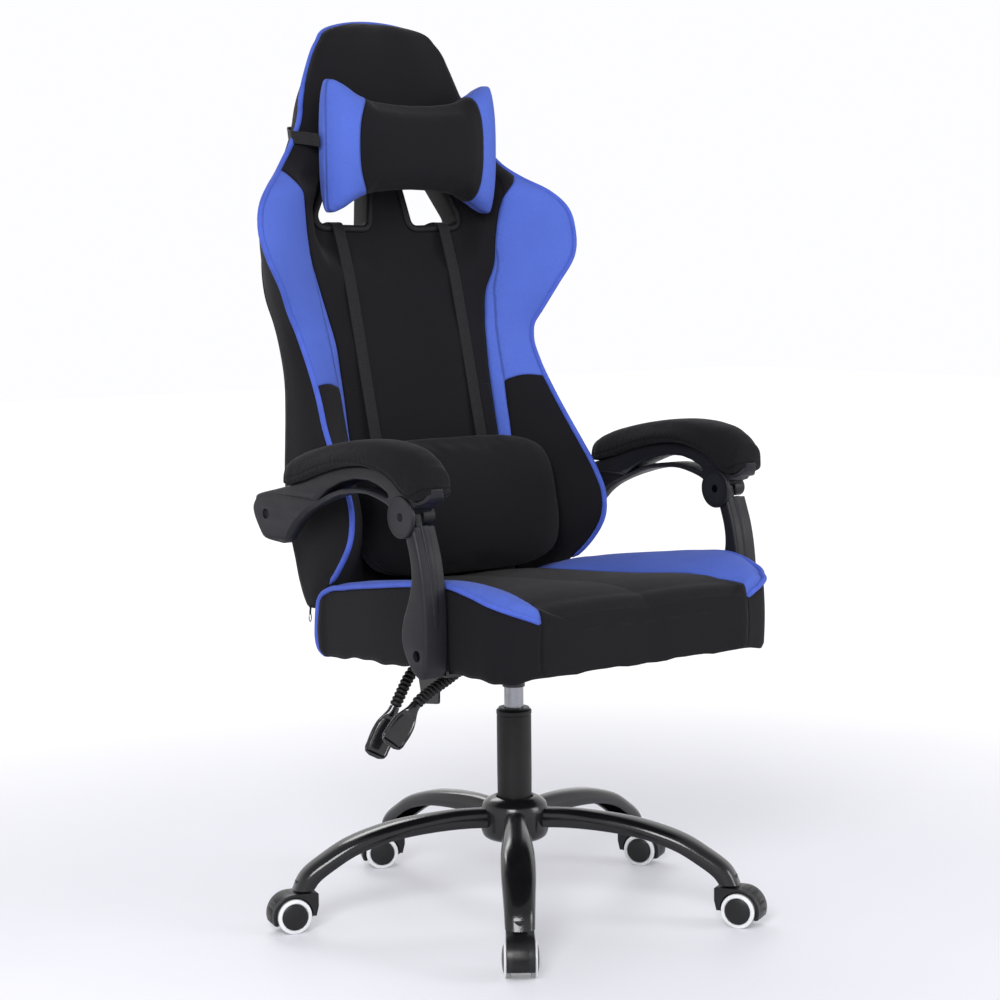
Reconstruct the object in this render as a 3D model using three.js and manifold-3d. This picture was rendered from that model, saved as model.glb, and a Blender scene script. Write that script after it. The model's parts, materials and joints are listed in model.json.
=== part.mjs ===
// Gaming chair: bucket seat on a five-leg caster base, with a reclining back and linked armrests.
// Millimetres, +Z up, the chair faces -Y, +X is on the right when it is seen from the front.
// The column axis is x = 0, y = 0 in the inner group, and the floor is z = 0.

import * as THREE from 'three';
import { mergeVertices } from 'three/addons/utils/BufferGeometryUtils.js';
import Module from 'manifold-3d';

const wasm = await Module();
wasm.setup();

// ---------------------------------------------------------------- driving dimensions

const CLEARANCE = 0.3; // running gap between touching pieces
const SETBACK = 23; // the column axis stands this far in front of the origin
const degrees = Math.PI / 180;

// Star base and casters
const LEG_COUNT = 5;
const FIRST_LEG_ANGLE = -37.5; // degrees, from straight ahead towards +X
const STEM_CIRCLE = 314; // radius of the caster stems
const HUB_RADIUS = 48;
const HUB_BOTTOM = 106;
const HUB_TOP = 166;
const LEG_WALL = 2.5; // pressed tube
const CASTER_TURNS = [0, -7, -76, 63, 3]; // rest angle of each caster against its leg, degrees
const WHEEL_RADIUS = 25;
const WHEEL_FACETS = 20;
const WHEEL_INNER = 13; // inner face of a wheel from the caster's middle
const WHEEL_RIM = 20.5; // outer face of the tread
const WHEEL_CAP = 25; // crown of the domed cap
const CASTER_TRAIL = 20; // axle behind the stem
const HOOD_HALF_WIDTH = 19;
const HOOD_WALL = 4.6;
const WHEEL_ROOM = 1.4; // between a wheel and its hood
const HOOD_RADIUS = WHEEL_RADIUS + WHEEL_ROOM + HOOD_WALL;
const STEM_RADIUS = 5.5;
const STEM_LENGTH = 24;
const AXLE_RADIUS = 3.5;
const AXLE_HEIGHT = WHEEL_RADIUS * Math.cos(Math.PI / WHEEL_FACETS); // the wheels stand on a flat facet
const COLLAR_HEIGHT = 3; // between a caster's hood and its leg
const LEG_END_HEIGHT = AXLE_HEIGHT + HOOD_RADIUS + COLLAR_HEIGHT + CLEARANCE; // underside of a leg's end

// Gas lift
const COLUMN_RADIUS = 25;
const COLUMN_TOP = 293;
const COLUMN_BORE = 20;
const LIFT_RADIUS = 14;
const LIFT_BOTTOM = 142;
const LIFT_TOP = 375;
const ROD_RADIUS = 5;
const ROD_TOP = 246;
const PISTON_RADIUS = 10.6;
const BUSH_LENGTH = 42;
const BUTTON_RADIUS = 4;
const BUTTON_TOP = 381.6;

// Seat and mechanism
const SEAT_HALF_WIDTH = 255; // at its widest
const BODY_WIDTH = SEAT_HALF_WIDTH / 255; // share of the tabled widths of seat, back and pillows
const BOARD_BOTTOM = 398;
const BOARD_THICKNESS = 10;
const BOARD_HALF_WIDTH = 200;
const BOARD_FRONT = -250;
const BOARD_REAR = 130;
const HOUSING_HALF_WIDTH = 65;
const SHEET = 3; // pressed steel
const FLANGE_HALF_WIDTH = 95;
const COLLAR_RADIUS = 16.5;
const COLLAR_BOTTOM = 326;

// Back and armrest linkage, as [y, z]. The four pivots make a parallelogram, so the armrests stay level.
const POST_PIVOT = [-174, 424];
const POST_LINK = [26, 180]; // up an armrest post
const ARM_LINK = [336, -22]; // along an armrest
const ARM_FRONT_PIVOT = [POST_PIVOT[0] + POST_LINK[0], POST_PIVOT[1] + POST_LINK[1]];
const ARM_REAR_PIVOT = [ARM_FRONT_PIVOT[0] + ARM_LINK[0], ARM_FRONT_PIVOT[1] + ARM_LINK[1]];
const HINGE = [POST_PIVOT[0] + ARM_LINK[0], POST_PIVOT[1] + ARM_LINK[1]];
const BACK_LEAN = 11.5; // degrees behind upright, at rest
const HINGE_PIN_RADIUS = 7;
const HINGE_EYE_RADIUS = 11;
const BAR_HALF_WIDTH = 38;
const BAR_THICKNESS = 8;
const BAR_TOP = 200;

// Armrests
const ARM_HALF_WIDTH = 20;
const KNUCKLE_HALF_WIDTH = 25;
const KNUCKLE_RADIUS = 12.5;
const KNUCKLE_DISC_RADIUS = 28;
const KNUCKLE_DISC_THICKNESS = 5.7;
const TONGUE_HALF_WIDTH = 5.3;
const POST_HALF_WIDTH = 18;
const PIN_RADIUS = 4;
const BOLT_HEAD_RADIUS = 6.5;
const PAD_HALF_WIDTH = 36;
const SPACER_RADIUS = 10;
const BRACKET_THICKNESS = 4.6;
const BRACKET_HALF_LENGTH = 14;
const BRACKET_ROOM = 2; // between the seat's side and a bracket
const POST_ROOM = 0.4; // between a bracket and its post
const BRACKET_INNER = SEAT_HALF_WIDTH + BRACKET_ROOM;
const ARM_SPACING = BRACKET_INNER + BRACKET_THICKNESS + POST_ROOM + POST_HALF_WIDTH; // middle of each armrest
const BACK_SIDE = 226 * BODY_WIDTH; // flat on each side of the back where the rear spacer bears

// Levers
const LEVER_PIVOT_X = -63.5; // in the middle of the left wall of the housing
const LEVER_ROD_RADIUS = 4;
const LEVER_STEP = 6; // the recline lever runs this much lower than the height lever
const SLEEVE_RADIUS = 8.6;
const SLEEVE_PITCH = 7;

// Harness slots in the back, in the back's own frame: x and height above the hinge
const SLOT_DEPTH_FRONT = 11;
const SLOT_DEPTH_REAR = 42;
const BEZEL_WALL = 3;
const BEZEL_FLANGE = 11;
const BEZEL_FLANGE_THICKNESS = 3;
const BEZEL_REAR_LIP = 8;
const SLOT_CORNERS = [[42, 600], [124, 602], [128, 614], [98, 668], [30, 668]];
const SLOT_CORNER_RADIUS = 9;

// ---------------------------------------------------------------- materials

function finish(color, roughness, metalness = 0) {
  return new THREE.MeshStandardMaterial({ color, roughness, metalness });
}

const blackPaint = finish(0x101012, 0.35, 0.4);
const columnPaint = finish(0x0c0c0d, 0.55, 0.3);
const chromeSteel = finish(0xb8bcc4, 0.25, 1);
const zincSteel = finish(0x8d9096, 0.4, 0.9);
const castorPlastic = finish(0x222226, 0.55);
const whitePlastic = finish(0xe6e6ea, 0.45);
const armPlastic = finish(0x34343a, 0.6);
const rubber = finish(0x0d0d0f, 0.8);
const blackFabric = finish(0x0f0f12, 0.95);
const webbing = finish(0x1b1b1f, 0.9);
const plywood = finish(0x8a6b4a, 0.7);
const glossPlastic = finish(0x141417, 0.25);

// ---------------------------------------------------------------- solids

/** Welds a geometry to position only, drops zero-area triangles, and turns its faces outwards. */
function weld(geometry) {
  const bare = geometry.index ? geometry : mergeVertices(geometry);
  bare.deleteAttribute('normal');
  bare.deleteAttribute('uv');
  const merged = mergeVertices(bare, 1e-4);
  const at = merged.attributes.position.array;
  const corners = merged.index.array;
  const kept = [];
  let volume = 0;
  for (let i = 0; i < corners.length; i += 3) {
    const [a, b, c] = [corners[i], corners[i + 1], corners[i + 2]];
    if (a === b || b === c || c === a) continue;
    kept.push(a, b, c);
    const pa = new THREE.Vector3().fromArray(at, 3 * a);
    const pb = new THREE.Vector3().fromArray(at, 3 * b);
    const pc = new THREE.Vector3().fromArray(at, 3 * c);
    volume += pa.dot(pb.cross(pc));
  }
  if (volume < 0) kept.reverse();
  merged.setIndex(kept);
  return merged;
}

function toSolid(geometry) {
  const welded = weld(geometry);
  return new wasm.Manifold(new wasm.Mesh({
    numProp: 3,
    vertProperties: new Float32Array(welded.attributes.position.array),
    triVerts: new Uint32Array(welded.index.array),
  }));
}

function toGeometry(solid) {
  const mesh = solid.getMesh();
  const geometry = new THREE.BufferGeometry();
  geometry.setAttribute('position', new THREE.BufferAttribute(new Float32Array(mesh.vertProperties), 3));
  geometry.setIndex(Array.from(mesh.triVerts));
  return geometry;
}

/** Joins geometries into one solid. */
function join(...geometries) {
  return toGeometry(geometries.map(toSolid).reduce((whole, piece) => whole.add(piece)));
}

/** Cuts tool geometries out of a body. */
function cut(body, ...tools) {
  return toGeometry(tools.map(toSolid).reduce((rest, tool) => rest.subtract(tool), toSolid(body)));
}

function overlap(one, other) {
  return toGeometry(toSolid(one).intersect(toSolid(other)));
}

/** Revolves [radius, z] points about Z. */
function revolve(points, facets = 32) {
  const profile = points.map(([radius, z]) => new THREE.Vector2(radius, z));
  return new THREE.LatheGeometry(profile, facets).rotateX(Math.PI / 2);
}

/** A cylinder between two points along one axis. */
function rod(radius, from, to, axis = 'z', facets = 24) {
  const body = new THREE.CylinderGeometry(radius, radius, Math.abs(to - from), facets);
  if (axis === 'x') body.rotateZ(Math.PI / 2);
  if (axis === 'z') body.rotateX(Math.PI / 2);
  const middle = (from + to) / 2;
  const shift = { x: [middle, 0, 0], y: [0, middle, 0], z: [0, 0, middle] }[axis];
  return body.translate(...shift);
}

function box(low, high) {
  const size = high.map((value, i) => value - low[i]);
  const middle = high.map((value, i) => (value + low[i]) / 2);
  return new THREE.BoxGeometry(...size).translate(...middle);
}

/** Extrudes a shape drawn in (y, z) along X, with an optional bevel on its long edges. */
function extrudeSide(shape, fromX, toX, bevel = 0, curveSegments = 6) {
  const body = new THREE.ExtrudeGeometry(shape, {
    depth: toX - fromX - 2 * bevel,
    bevelEnabled: bevel > 0,
    bevelThickness: bevel,
    bevelSize: bevel,
    bevelOffset: -bevel,
    bevelSegments: 1,
    curveSegments,
  });
  const turn = new THREE.Matrix4().set(0, 0, 1, 0, 1, 0, 0, 0, 0, 1, 0, 0, 0, 0, 0, 1);
  return body.applyMatrix4(turn).translate(fromX + bevel, 0, 0);
}

/** Extrudes a shape drawn in (x, z) along Y. */
function extrudeFront(shape, fromY, toY, curveSegments = 5) {
  const body = new THREE.ExtrudeGeometry(shape, { depth: toY - fromY, bevelEnabled: false, curveSegments });
  const turn = new THREE.Matrix4().set(1, 0, 0, 0, 0, 0, 1, 0, 0, 1, 0, 0, 0, 0, 0, 1);
  return body.applyMatrix4(turn).translate(0, fromY, 0);
}

function polygon(points) {
  return new THREE.Shape(points.map(([a, b]) => new THREE.Vector2(a, b)));
}

/** A closed outline with the same radius on every corner, which spread > 0 moves outwards. */
function roundedOutline(points, radius, spread = 0) {
  const shape = new THREE.Shape();
  const middle = new THREE.Vector2();
  points.forEach(([a, b]) => middle.add(new THREE.Vector2(a, b).divideScalar(points.length)));
  const spreadPoints = points.map(([a, b]) => {
    const away = new THREE.Vector2(a, b).sub(middle);
    return middle.clone().addScaledVector(away, 1 + spread / away.length());
  });
  const count = spreadPoints.length;
  spreadPoints.forEach((corner, i) => {
    const [before, after] = [i + count - 1, i + 1].map((neighbour) => {
      const edge = spreadPoints[neighbour % count].clone().sub(corner);
      return edge.setLength(Math.min(radius, 0.47 * edge.length())).add(corner);
    });
    if (i === 0) shape.moveTo(before.x, before.y);
    else shape.lineTo(before.x, before.y);
    shape.quadraticCurveTo(corner.x, corner.y, after.x, after.y);
  });
  shape.closePath();
  return shape;
}

/** Closed solid through rings of points, each ring with as many points as the next. */
function loft(rings) {
  const size = rings[0].length;
  const points = rings.flat();
  const corners = [];
  for (let ring = 0; ring + 1 < rings.length; ring += 1) {
    for (let i = 0; i < size; i += 1) {
      const next = (i + 1) % size;
      const a = ring * size + i;
      const b = ring * size + next;
      corners.push(a, b, a + size, b, b + size, a + size);
    }
  }
  for (const [ring, flip] of [[0, true], [rings.length - 1, false]]) {
    const middle = new THREE.Vector3();
    rings[ring].forEach((point) => middle.addScaledVector(point, 1 / size));
    points.push(middle);
    for (let i = 0; i < size; i += 1) {
      const edge = [ring * size + i, ring * size + ((i + 1) % size)];
      if (flip) edge.reverse();
      corners.push(points.length - 1, ...edge);
    }
  }
  const geometry = new THREE.BufferGeometry();
  const flat = points.flatMap((point) => [point.x, point.y, point.z]);
  geometry.setAttribute('position', new THREE.BufferAttribute(new Float32Array(flat), 3));
  geometry.setIndex(corners);
  return weld(geometry);
}

/** Value of one column at a station between rows of [station, value, ...]. */
function between(rows, column, station) {
  const passed = rows.filter((row) => row[0] <= station).length;
  const after = Math.min(Math.max(passed, 1), rows.length - 1);
  const [low, high] = [rows[after - 1], rows[after]];
  const share = (station - low[0]) / (high[0] - low[0]);
  return low[column] + (high[column] - low[column]) * share;
}

/** A rounded bar along a curve. */
function bar(path, radius, steps, sides = 8) {
  const section = new THREE.Shape().absarc(0, 0, radius, 0, 2 * Math.PI);
  return new THREE.ExtrudeGeometry(section, { extrudePath: path, steps, curveSegments: sides / 2 });
}

function vectors(points) {
  return points.map((point) => new THREE.Vector3(...point));
}

/** A rounded rectangle ring around a middle point, spanned by two unit directions. */
function padRing(middle, across, up, halfAcross, halfUp, count = 12, power = 0.6) {
  return Array.from({ length: count }, (_, i) => {
    const angle = (2 * Math.PI * (i + 0.5)) / count;
    const a = Math.sign(Math.cos(angle)) * Math.abs(Math.cos(angle)) ** power * halfAcross;
    const b = Math.sign(Math.sin(angle)) * Math.abs(Math.sin(angle)) ** power * halfUp;
    return middle.clone().addScaledVector(across, a).addScaledVector(up, b);
  });
}

const X = new THREE.Vector3(1, 0, 0);
const Y = new THREE.Vector3(0, 1, 0);
const Z = new THREE.Vector3(0, 0, 1);

// ---------------------------------------------------------------- assembly

const chair = new THREE.Group();
chair.name = 'gaming_chair';
const standing = new THREE.Group(); // origin on the floor under the column
standing.position.y = -SETBACK;
chair.add(standing);

function add(parent, name, geometry, material) {
  const mesh = new THREE.Mesh(weld(geometry), material);
  mesh.name = name;
  parent.add(mesh);
  return mesh;
}

// ---------------------------------------------------------------- star base

const columnRadiusAt = (z) => COLUMN_RADIUS - Math.max(HUB_TOP - z, 0) / 60; // slight taper in the hub

function hubGeometry() {
  const bottomBore = columnRadiusAt(HUB_BOTTOM) + CLEARANCE;
  const topBore = COLUMN_RADIUS + CLEARANCE;
  const wall = 4;
  return revolve([
    [bottomBore, HUB_BOTTOM], [bottomBore + wall, HUB_BOTTOM], [bottomBore + wall, HUB_TOP - wall],
    [HUB_RADIUS - 18, HUB_TOP - wall], [HUB_RADIUS - wall, HUB_TOP - 24], [HUB_RADIUS - wall, HUB_BOTTOM],
    [HUB_RADIUS - 1, HUB_BOTTOM], [HUB_RADIUS, HUB_BOTTOM + 2],
    [HUB_RADIUS, HUB_TOP - 19], [HUB_RADIUS - 6, HUB_TOP - 7], [HUB_RADIUS - 18, HUB_TOP],
    [topBore, HUB_TOP], [bottomBore, HUB_BOTTOM],
  ], 30);
}

// Middle line and section of a leg: [distance out, height, slope in degrees, half width, half height]
const LEG_STATIONS = [
  [38, 134, 2, 18, 17.5], [90, 136, 0, 20, 16.5], [STEM_CIRCLE - 164, 133, -7, 22.5, 15],
  [STEM_CIRCLE - 114, 125.5, -13, 23, 14], [STEM_CIRCLE - 69, LEG_END_HEIGHT + 52.5, -23, 22, 14],
  [STEM_CIRCLE - 34, LEG_END_HEIGHT + 33, -38, 20, 14.5],
  [STEM_CIRCLE - 11, LEG_END_HEIGHT + 16.5, -57, 18.5, 15.5], [STEM_CIRCLE, LEG_END_HEIGHT, -90, 17.5, 16],
];

/** Rings of a leg's oval section along +X, inset by a wall thickness. */
function legRings(stations, sides, inset = 0) {
  return stations.map(([out, height, slope, halfWidth, halfHeight]) => {
    const angle = slope * degrees;
    const up = new THREE.Vector3(-Math.sin(angle), 0, Math.cos(angle));
    const middle = new THREE.Vector3(out, 0, height);
    return Array.from({ length: sides }, (_, i) => {
      const turn = (2 * Math.PI * i) / sides;
      const crease = 1 + 0.06 * Math.abs(Math.cos(turn)) ** 12;
      const across = Math.cos(turn) * (halfWidth - inset) * crease;
      const rise = Math.sign(Math.sin(turn)) * Math.abs(Math.sin(turn)) ** 0.85 * (halfHeight - inset);
      return middle.clone().addScaledVector(Y, across).addScaledVector(up, rise);
    });
  });
}

/** Pressed tube leg along +X, open at the hub, with a saddle cut and a bored caster socket. */
function legGeometry() {
  const tube = loft(legRings(LEG_STATIONS, 14));
  const hollow = loft(legRings(LEG_STATIONS.slice(0, -2), 10, LEG_WALL));
  const saddle = rod(HUB_RADIUS + CLEARANCE, HUB_BOTTOM - 20, HUB_TOP + 20, 'z', 30);
  const socketTop = LEG_END_HEIGHT + STEM_LENGTH + CLEARANCE;
  const socket = rod(STEM_RADIUS + CLEARANCE, LEG_END_HEIGHT - 5, socketTop, 'z', 12);
  return cut(tube, hollow, saddle, socket.translate(STEM_CIRCLE, 0, 0));
}

// ---------------------------------------------------------------- casters

/** Hooded body with its stem and axle: stem on the Z axis, wheels trailing towards -Y. */
function casterBodyGeometry() {
  const top = AXLE_HEIGHT + HOOD_RADIUS;
  const outline = new THREE.Shape();
  outline.moveTo(12, AXLE_HEIGHT - 2);
  outline.lineTo(15.5, AXLE_HEIGHT + 12);
  outline.lineTo(15.5, top - 2);
  outline.lineTo(13.5, top);
  outline.lineTo(-CASTER_TRAIL, top);
  outline.absarc(-CASTER_TRAIL, AXLE_HEIGHT, HOOD_RADIUS, Math.PI / 2, Math.PI + 0.38, false);
  outline.lineTo(-CASTER_TRAIL - 25, AXLE_HEIGHT - 11);
  outline.lineTo(-CASTER_TRAIL - 12, AXLE_HEIGHT - 14);
  outline.lineTo(-CASTER_TRAIL + 12, AXLE_HEIGHT - 14);
  outline.closePath();
  const block = extrudeSide(outline, -HOOD_HALF_WIDTH, HOOD_HALF_WIDTH, 1, 7);
  const wheelBay = HOOD_RADIUS - HOOD_WALL;
  const webHalf = WHEEL_INNER - 0.6;
  const toAxle = (geometry) => geometry.translate(0, -CASTER_TRAIL, AXLE_HEIGHT);
  const bays = [[-30, -webHalf], [webHalf, 30]].map(([from, to]) => toAxle(rod(wheelBay, from, to, 'x', 20)));
  const axleEnd = WHEEL_RIM + 0.5;
  const axle = toAxle(rod(AXLE_RADIUS, -axleEnd, axleEnd, 'x', 10));
  const collar = rod(9.5, top - 1, LEG_END_HEIGHT - CLEARANCE, 'z', 14);
  const stem = rod(STEM_RADIUS, top - 1, LEG_END_HEIGHT + STEM_LENGTH, 'z', 12);
  return join(cut(block, ...bays), axle, collar, stem);
}

/** Wheel with a white tread ring and a domed cap, spinning about X, outer side towards +X. */
function wheelGeometry() {
  const bore = AXLE_RADIUS + CLEARANCE;
  const pocket = WHEEL_RIM + 0.8;
  const profile = [
    [0, pocket], [bore, pocket], [bore, WHEEL_INNER], [WHEEL_RADIUS, WHEEL_INNER],
    [WHEEL_RADIUS, WHEEL_RIM - 1], [WHEEL_RADIUS - 1.6, WHEEL_RIM], [18, WHEEL_RIM + 1.8], [0, WHEEL_CAP],
  ];
  const turned = revolve(profile, WHEEL_FACETS).rotateY(Math.PI / 2);
  return turned.rotateX(Math.PI / WHEEL_FACETS);
}

function addBase() {
  add(standing, 'base_hub', hubGeometry(), blackPaint);
  for (let i = 0; i < LEG_COUNT; i += 1) {
    const number = i + 1;
    const heading = FIRST_LEG_ANGLE + (360 / LEG_COUNT) * i;
    const leg = new THREE.Group();
    leg.rotation.z = (heading - 90) * degrees;
    standing.add(leg);
    add(leg, `base_leg_${number}`, legGeometry(), blackPaint);
    const caster = new THREE.Group();
    caster.position.x = STEM_CIRCLE;
    caster.rotation.z = (90 + CASTER_TURNS[i]) * degrees;
    leg.add(caster);
    add(caster, `caster_body_${number}`, casterBodyGeometry(), castorPlastic);
    for (const [side, turn] of [['left', Math.PI], ['right', 0]]) {
      const wheel = wheelGeometry().rotateZ(turn);
      const mesh = add(caster, `caster_wheel_${number}_${side}`, wheel, whitePlastic);
      mesh.position.set(0, -CASTER_TRAIL, AXLE_HEIGHT);
    }
  }
}

// ---------------------------------------------------------------- gas lift

function columnGeometry() {
  const floor = HUB_BOTTOM + 5;
  const hole = ROD_RADIUS + CLEARANCE;
  const foot = columnRadiusAt(HUB_BOTTOM - 1);
  return revolve([
    [hole, HUB_BOTTOM - 1], [foot, HUB_BOTTOM - 1], [COLUMN_RADIUS, HUB_TOP], [COLUMN_RADIUS, COLUMN_TOP - 1],
    [COLUMN_RADIUS - 1, COLUMN_TOP], [COLUMN_BORE, COLUMN_TOP], [COLUMN_BORE, floor], [hole, floor],
    [hole, HUB_BOTTOM - 1],
  ], 24);
}

function bushGeometry() {
  const outer = COLUMN_BORE - CLEARANCE;
  const inner = LIFT_RADIUS + CLEARANCE;
  const rim = COLUMN_TOP + CLEARANCE;
  return revolve([
    [inner, COLUMN_TOP - BUSH_LENGTH], [outer, COLUMN_TOP - BUSH_LENGTH], [outer, rim],
    [COLUMN_RADIUS - 2, rim], [COLUMN_RADIUS - 3, rim + 2.4], [inner, rim + 2.4],
    [inner, COLUMN_TOP - BUSH_LENGTH],
  ], 24);
}

/** Piston rod, clipped through the column's floor, with the piston inside the gas cylinder. */
function pistonRodGeometry() {
  const clip = HUB_BOTTOM - 1 - CLEARANCE;
  const thrust = HUB_BOTTOM + 5 + CLEARANCE;
  return revolve([
    [0, clip - 4], [9, clip - 4], [9, clip], [ROD_RADIUS, clip],
    [ROD_RADIUS, thrust], [12, thrust], [12, thrust + 5], [ROD_RADIUS, thrust + 5],
    [ROD_RADIUS, ROD_TOP - 8], [PISTON_RADIUS, ROD_TOP - 8], [PISTON_RADIUS, ROD_TOP], [0, ROD_TOP],
  ], 16);
}

function gasCylinderGeometry() {
  const guide = ROD_RADIUS + CLEARANCE;
  const chamber = PISTON_RADIUS + 0.4;
  const chamberTop = ROD_TOP + 34;
  const port = BUTTON_RADIUS + CLEARANCE;
  const portFloor = LIFT_TOP - 16;
  return revolve([
    [guide, LIFT_BOTTOM], [LIFT_RADIUS - 1, LIFT_BOTTOM], [LIFT_RADIUS, LIFT_BOTTOM + 1],
    [LIFT_RADIUS, LIFT_TOP - 1], [LIFT_RADIUS - 1, LIFT_TOP], [port, LIFT_TOP], [port, portFloor],
    [0, portFloor], [0, chamberTop], [chamber, chamberTop], [chamber, LIFT_BOTTOM + 10],
    [guide, LIFT_BOTTOM + 10], [guide, LIFT_BOTTOM],
  ], 24);
}

function valveButtonGeometry() {
  return revolve([
    [0, LIFT_TOP - 9], [BUTTON_RADIUS, LIFT_TOP - 9], [BUTTON_RADIUS, BUTTON_TOP - 1],
    [BUTTON_RADIUS - 1, BUTTON_TOP], [0, BUTTON_TOP],
  ], 12);
}

function addGasLift() {
  add(standing, 'lift_column', columnGeometry(), columnPaint);
  add(standing, 'column_bush', bushGeometry(), castorPlastic);
  add(standing, 'piston_rod', pistonRodGeometry(), chromeSteel);
  add(standing, 'gas_cylinder', gasCylinderGeometry(), chromeSteel);
  add(standing, 'valve_button', valveButtonGeometry(), zincSteel);
}

// ---------------------------------------------------------------- seat mechanism

const flangeTop = BOARD_BOTTOM - CLEARANCE;
const overButton = BUTTON_TOP + 0.4 + LEVER_ROD_RADIUS;
const leverHeights = { height: overButton, recline: overButton - LEVER_STEP };
const leverPlanes = { height: -40, recline: 30 };

/** Pressed steel housing: channel with the gas lift's collar, ears for the hinge pin, a guard on the left. */
function housingGeometry() {
  const [hingeY, hingeZ] = HINGE;
  const earRadius = HINGE_EYE_RADIUS + 0.3;
  const side = new THREE.Shape();
  side.moveTo(-105, flangeTop);
  side.lineTo(-105, 380);
  side.lineTo(-70, 348);
  side.lineTo(40, 344);
  side.lineTo(110, 344);
  side.lineTo(140, 356);
  side.lineTo(hingeY + earRadius, hingeZ - 14);
  side.absarc(hingeY, hingeZ, earRadius, 0, Math.PI, false);
  side.lineTo(hingeY - earRadius, flangeTop);
  side.closePath();
  const shell = extrudeSide(side, -HOUSING_HALF_WIDTH, HOUSING_HALF_WIDTH);
  const inner = HOUSING_HALF_WIDTH - SHEET;
  const above = Math.max(flangeTop, hingeZ + earRadius) + 10;
  const cavity = extrudeSide(polygon([
    [-102, above], [-102, 381.4], [-68.8, 351], [40.1, 347], [109.4, 347], [138.6, 358.6],
    [hingeY + 8, hingeZ - 16], [hingeY + 30, hingeZ - 16], [hingeY + 30, above],
  ]), -inner, inner);
  const guard = extrudeSide(roundedOutline([
    [92, 350], [94, 294], [127, 290], [136, 300], [152, 366],
  ], 4), -HOUSING_HALF_WIDTH, -inner);
  const flanges = [-1, 1].map((way) => {
    const edges = [way * (HOUSING_HALF_WIDTH - 1), way * FLANGE_HALF_WIDTH].sort((a, b) => a - b);
    return box([edges[0], -100, flangeTop - SHEET], [edges[1], 120, flangeTop]);
  });
  const collar = rod(COLLAR_RADIUS, COLLAR_BOTTOM, 372, 'z', 24);
  const bore = rod(LIFT_RADIUS + CLEARANCE, COLLAR_BOTTOM - 5, 380, 'z', 24);
  const pinHole = rod(HINGE_PIN_RADIUS + CLEARANCE, -90, 90, 'x', 12).translate(0, hingeY, hingeZ);
  const leverHoles = ['height', 'recline'].map((lever) => (
    rod(LEVER_ROD_RADIUS + 0.6, -80, -50, 'x', 12).translate(0, leverPlanes[lever], leverHeights[lever])
  ));
  return cut(join(cut(shell, cavity), guard, ...flanges, collar), bore, pinHole, ...leverHoles);
}

function hingePinGeometry() {
  const head = HOUSING_HALF_WIDTH + CLEARANCE;
  return revolve([
    [0, -head - 4], [10, -head - 4], [10, -head], [HINGE_PIN_RADIUS, -head], [HINGE_PIN_RADIUS, head],
    [10, head], [10, head + 4], [0, head + 4],
  ], 16).rotateY(Math.PI / 2);
}

function addMechanism() {
  add(standing, 'mechanism_housing', housingGeometry(), blackPaint);
  add(standing, 'hinge_pin', hingePinGeometry(), zincSteel).position.set(0, ...HINGE);
}

// ---------------------------------------------------------------- seat

// Seat sections: [y, underside, half width, outer seam x, z, crest x, z, panel seam x, z, middle z]
const SEAT_SECTIONS = [
  [-290, 399, 184, 183, 462, 174, 470, 148, 472, 472],
  [-283, 395, 213, 212, 478, 200, 486, 166, 480, 482],
  [-262, 394, 239, 238, 492, 222, 502, 172, 488, 489],
  [-230, 394, 249, 248, 503, 230, 512, 172, 493, 494],
  [-190, 395, 253, 252, 511, 236, 519, 165, 493, 495],
  [-110, 393, 255, 254, 507, 238, 514, 160, 486, 490],
  [-20, 389, 252, 251, 496, 233, 504, 160, 479, 485],
  [70, 385, 244, 242, 483, 225, 491, 158, 474, 478],
  [120, 385, 237, 235, 472, 219, 479, 152, 469, 472],
  [141, 385, 231, 228, 457, 213, 464, 146, 459, 462],
  [149.8, 389, 222, 218, 440, 205, 446, 140, 444, 446],
];

function seatCushionGeometry() {
  const rings = SEAT_SECTIONS.map((section) => {
    const [y, under, , , outerZ, , crestZ, , seamZ, middle] = section;
    const [half, outerX, crestX, seamX] = [2, 3, 5, 7].map((column) => section[column] * BODY_WIDTH);
    const right = [
      [half - 6, under], [half, under + 6], [half + 1, (under + outerZ) / 2], [outerX, outerZ],
      [crestX, crestZ], [(crestX + seamX) / 2, crestZ - 8], [seamX, seamZ], [seamX / 2, middle - 1],
    ];
    const left = right.map(([x, z]) => [-x, z]).reverse();
    const ring = [[0, under], ...right, [0, middle], ...left];
    return ring.map(([x, z]) => new THREE.Vector3(x, y, z));
  });
  const room = 0.4;
  const below = BOARD_BOTTOM - 50;
  const boardTop = BOARD_BOTTOM + BOARD_THICKNESS + room;
  const recess = box(
    [-BOARD_HALF_WIDTH - room, BOARD_FRONT - room, below],
    [BOARD_HALF_WIDTH + room, BOARD_REAR + room, boardTop],
  );
  const notchHalf = HOUSING_HALF_WIDTH + 1;
  const notch = box([-notchHalf, BOARD_REAR, below], [notchHalf, BOARD_REAR + 30, BOARD_BOTTOM + room]);
  const pivotY = POST_PIVOT[0];
  const roomHalf = BRACKET_HALF_LENGTH + 0.6;
  const bracketRoom = box(
    [-BRACKET_INNER - 3, pivotY - roomHalf, below],
    [BRACKET_INNER + 3, pivotY + roomHalf, BOARD_BOTTOM],
  );
  return cut(loft(rings), recess, notch, bracketRoom);
}

/** Plywood seat board with rounded corners. */
function seatBoardGeometry() {
  const corners = [
    [-BOARD_HALF_WIDTH, BOARD_FRONT], [BOARD_HALF_WIDTH, BOARD_FRONT],
    [BOARD_HALF_WIDTH, BOARD_REAR], [-BOARD_HALF_WIDTH, BOARD_REAR],
  ];
  return new THREE.ExtrudeGeometry(roundedOutline(corners, 30), {
    depth: BOARD_THICKNESS, bevelEnabled: false, curveSegments: 5,
  }).translate(0, 0, BOARD_BOTTOM);
}

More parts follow.
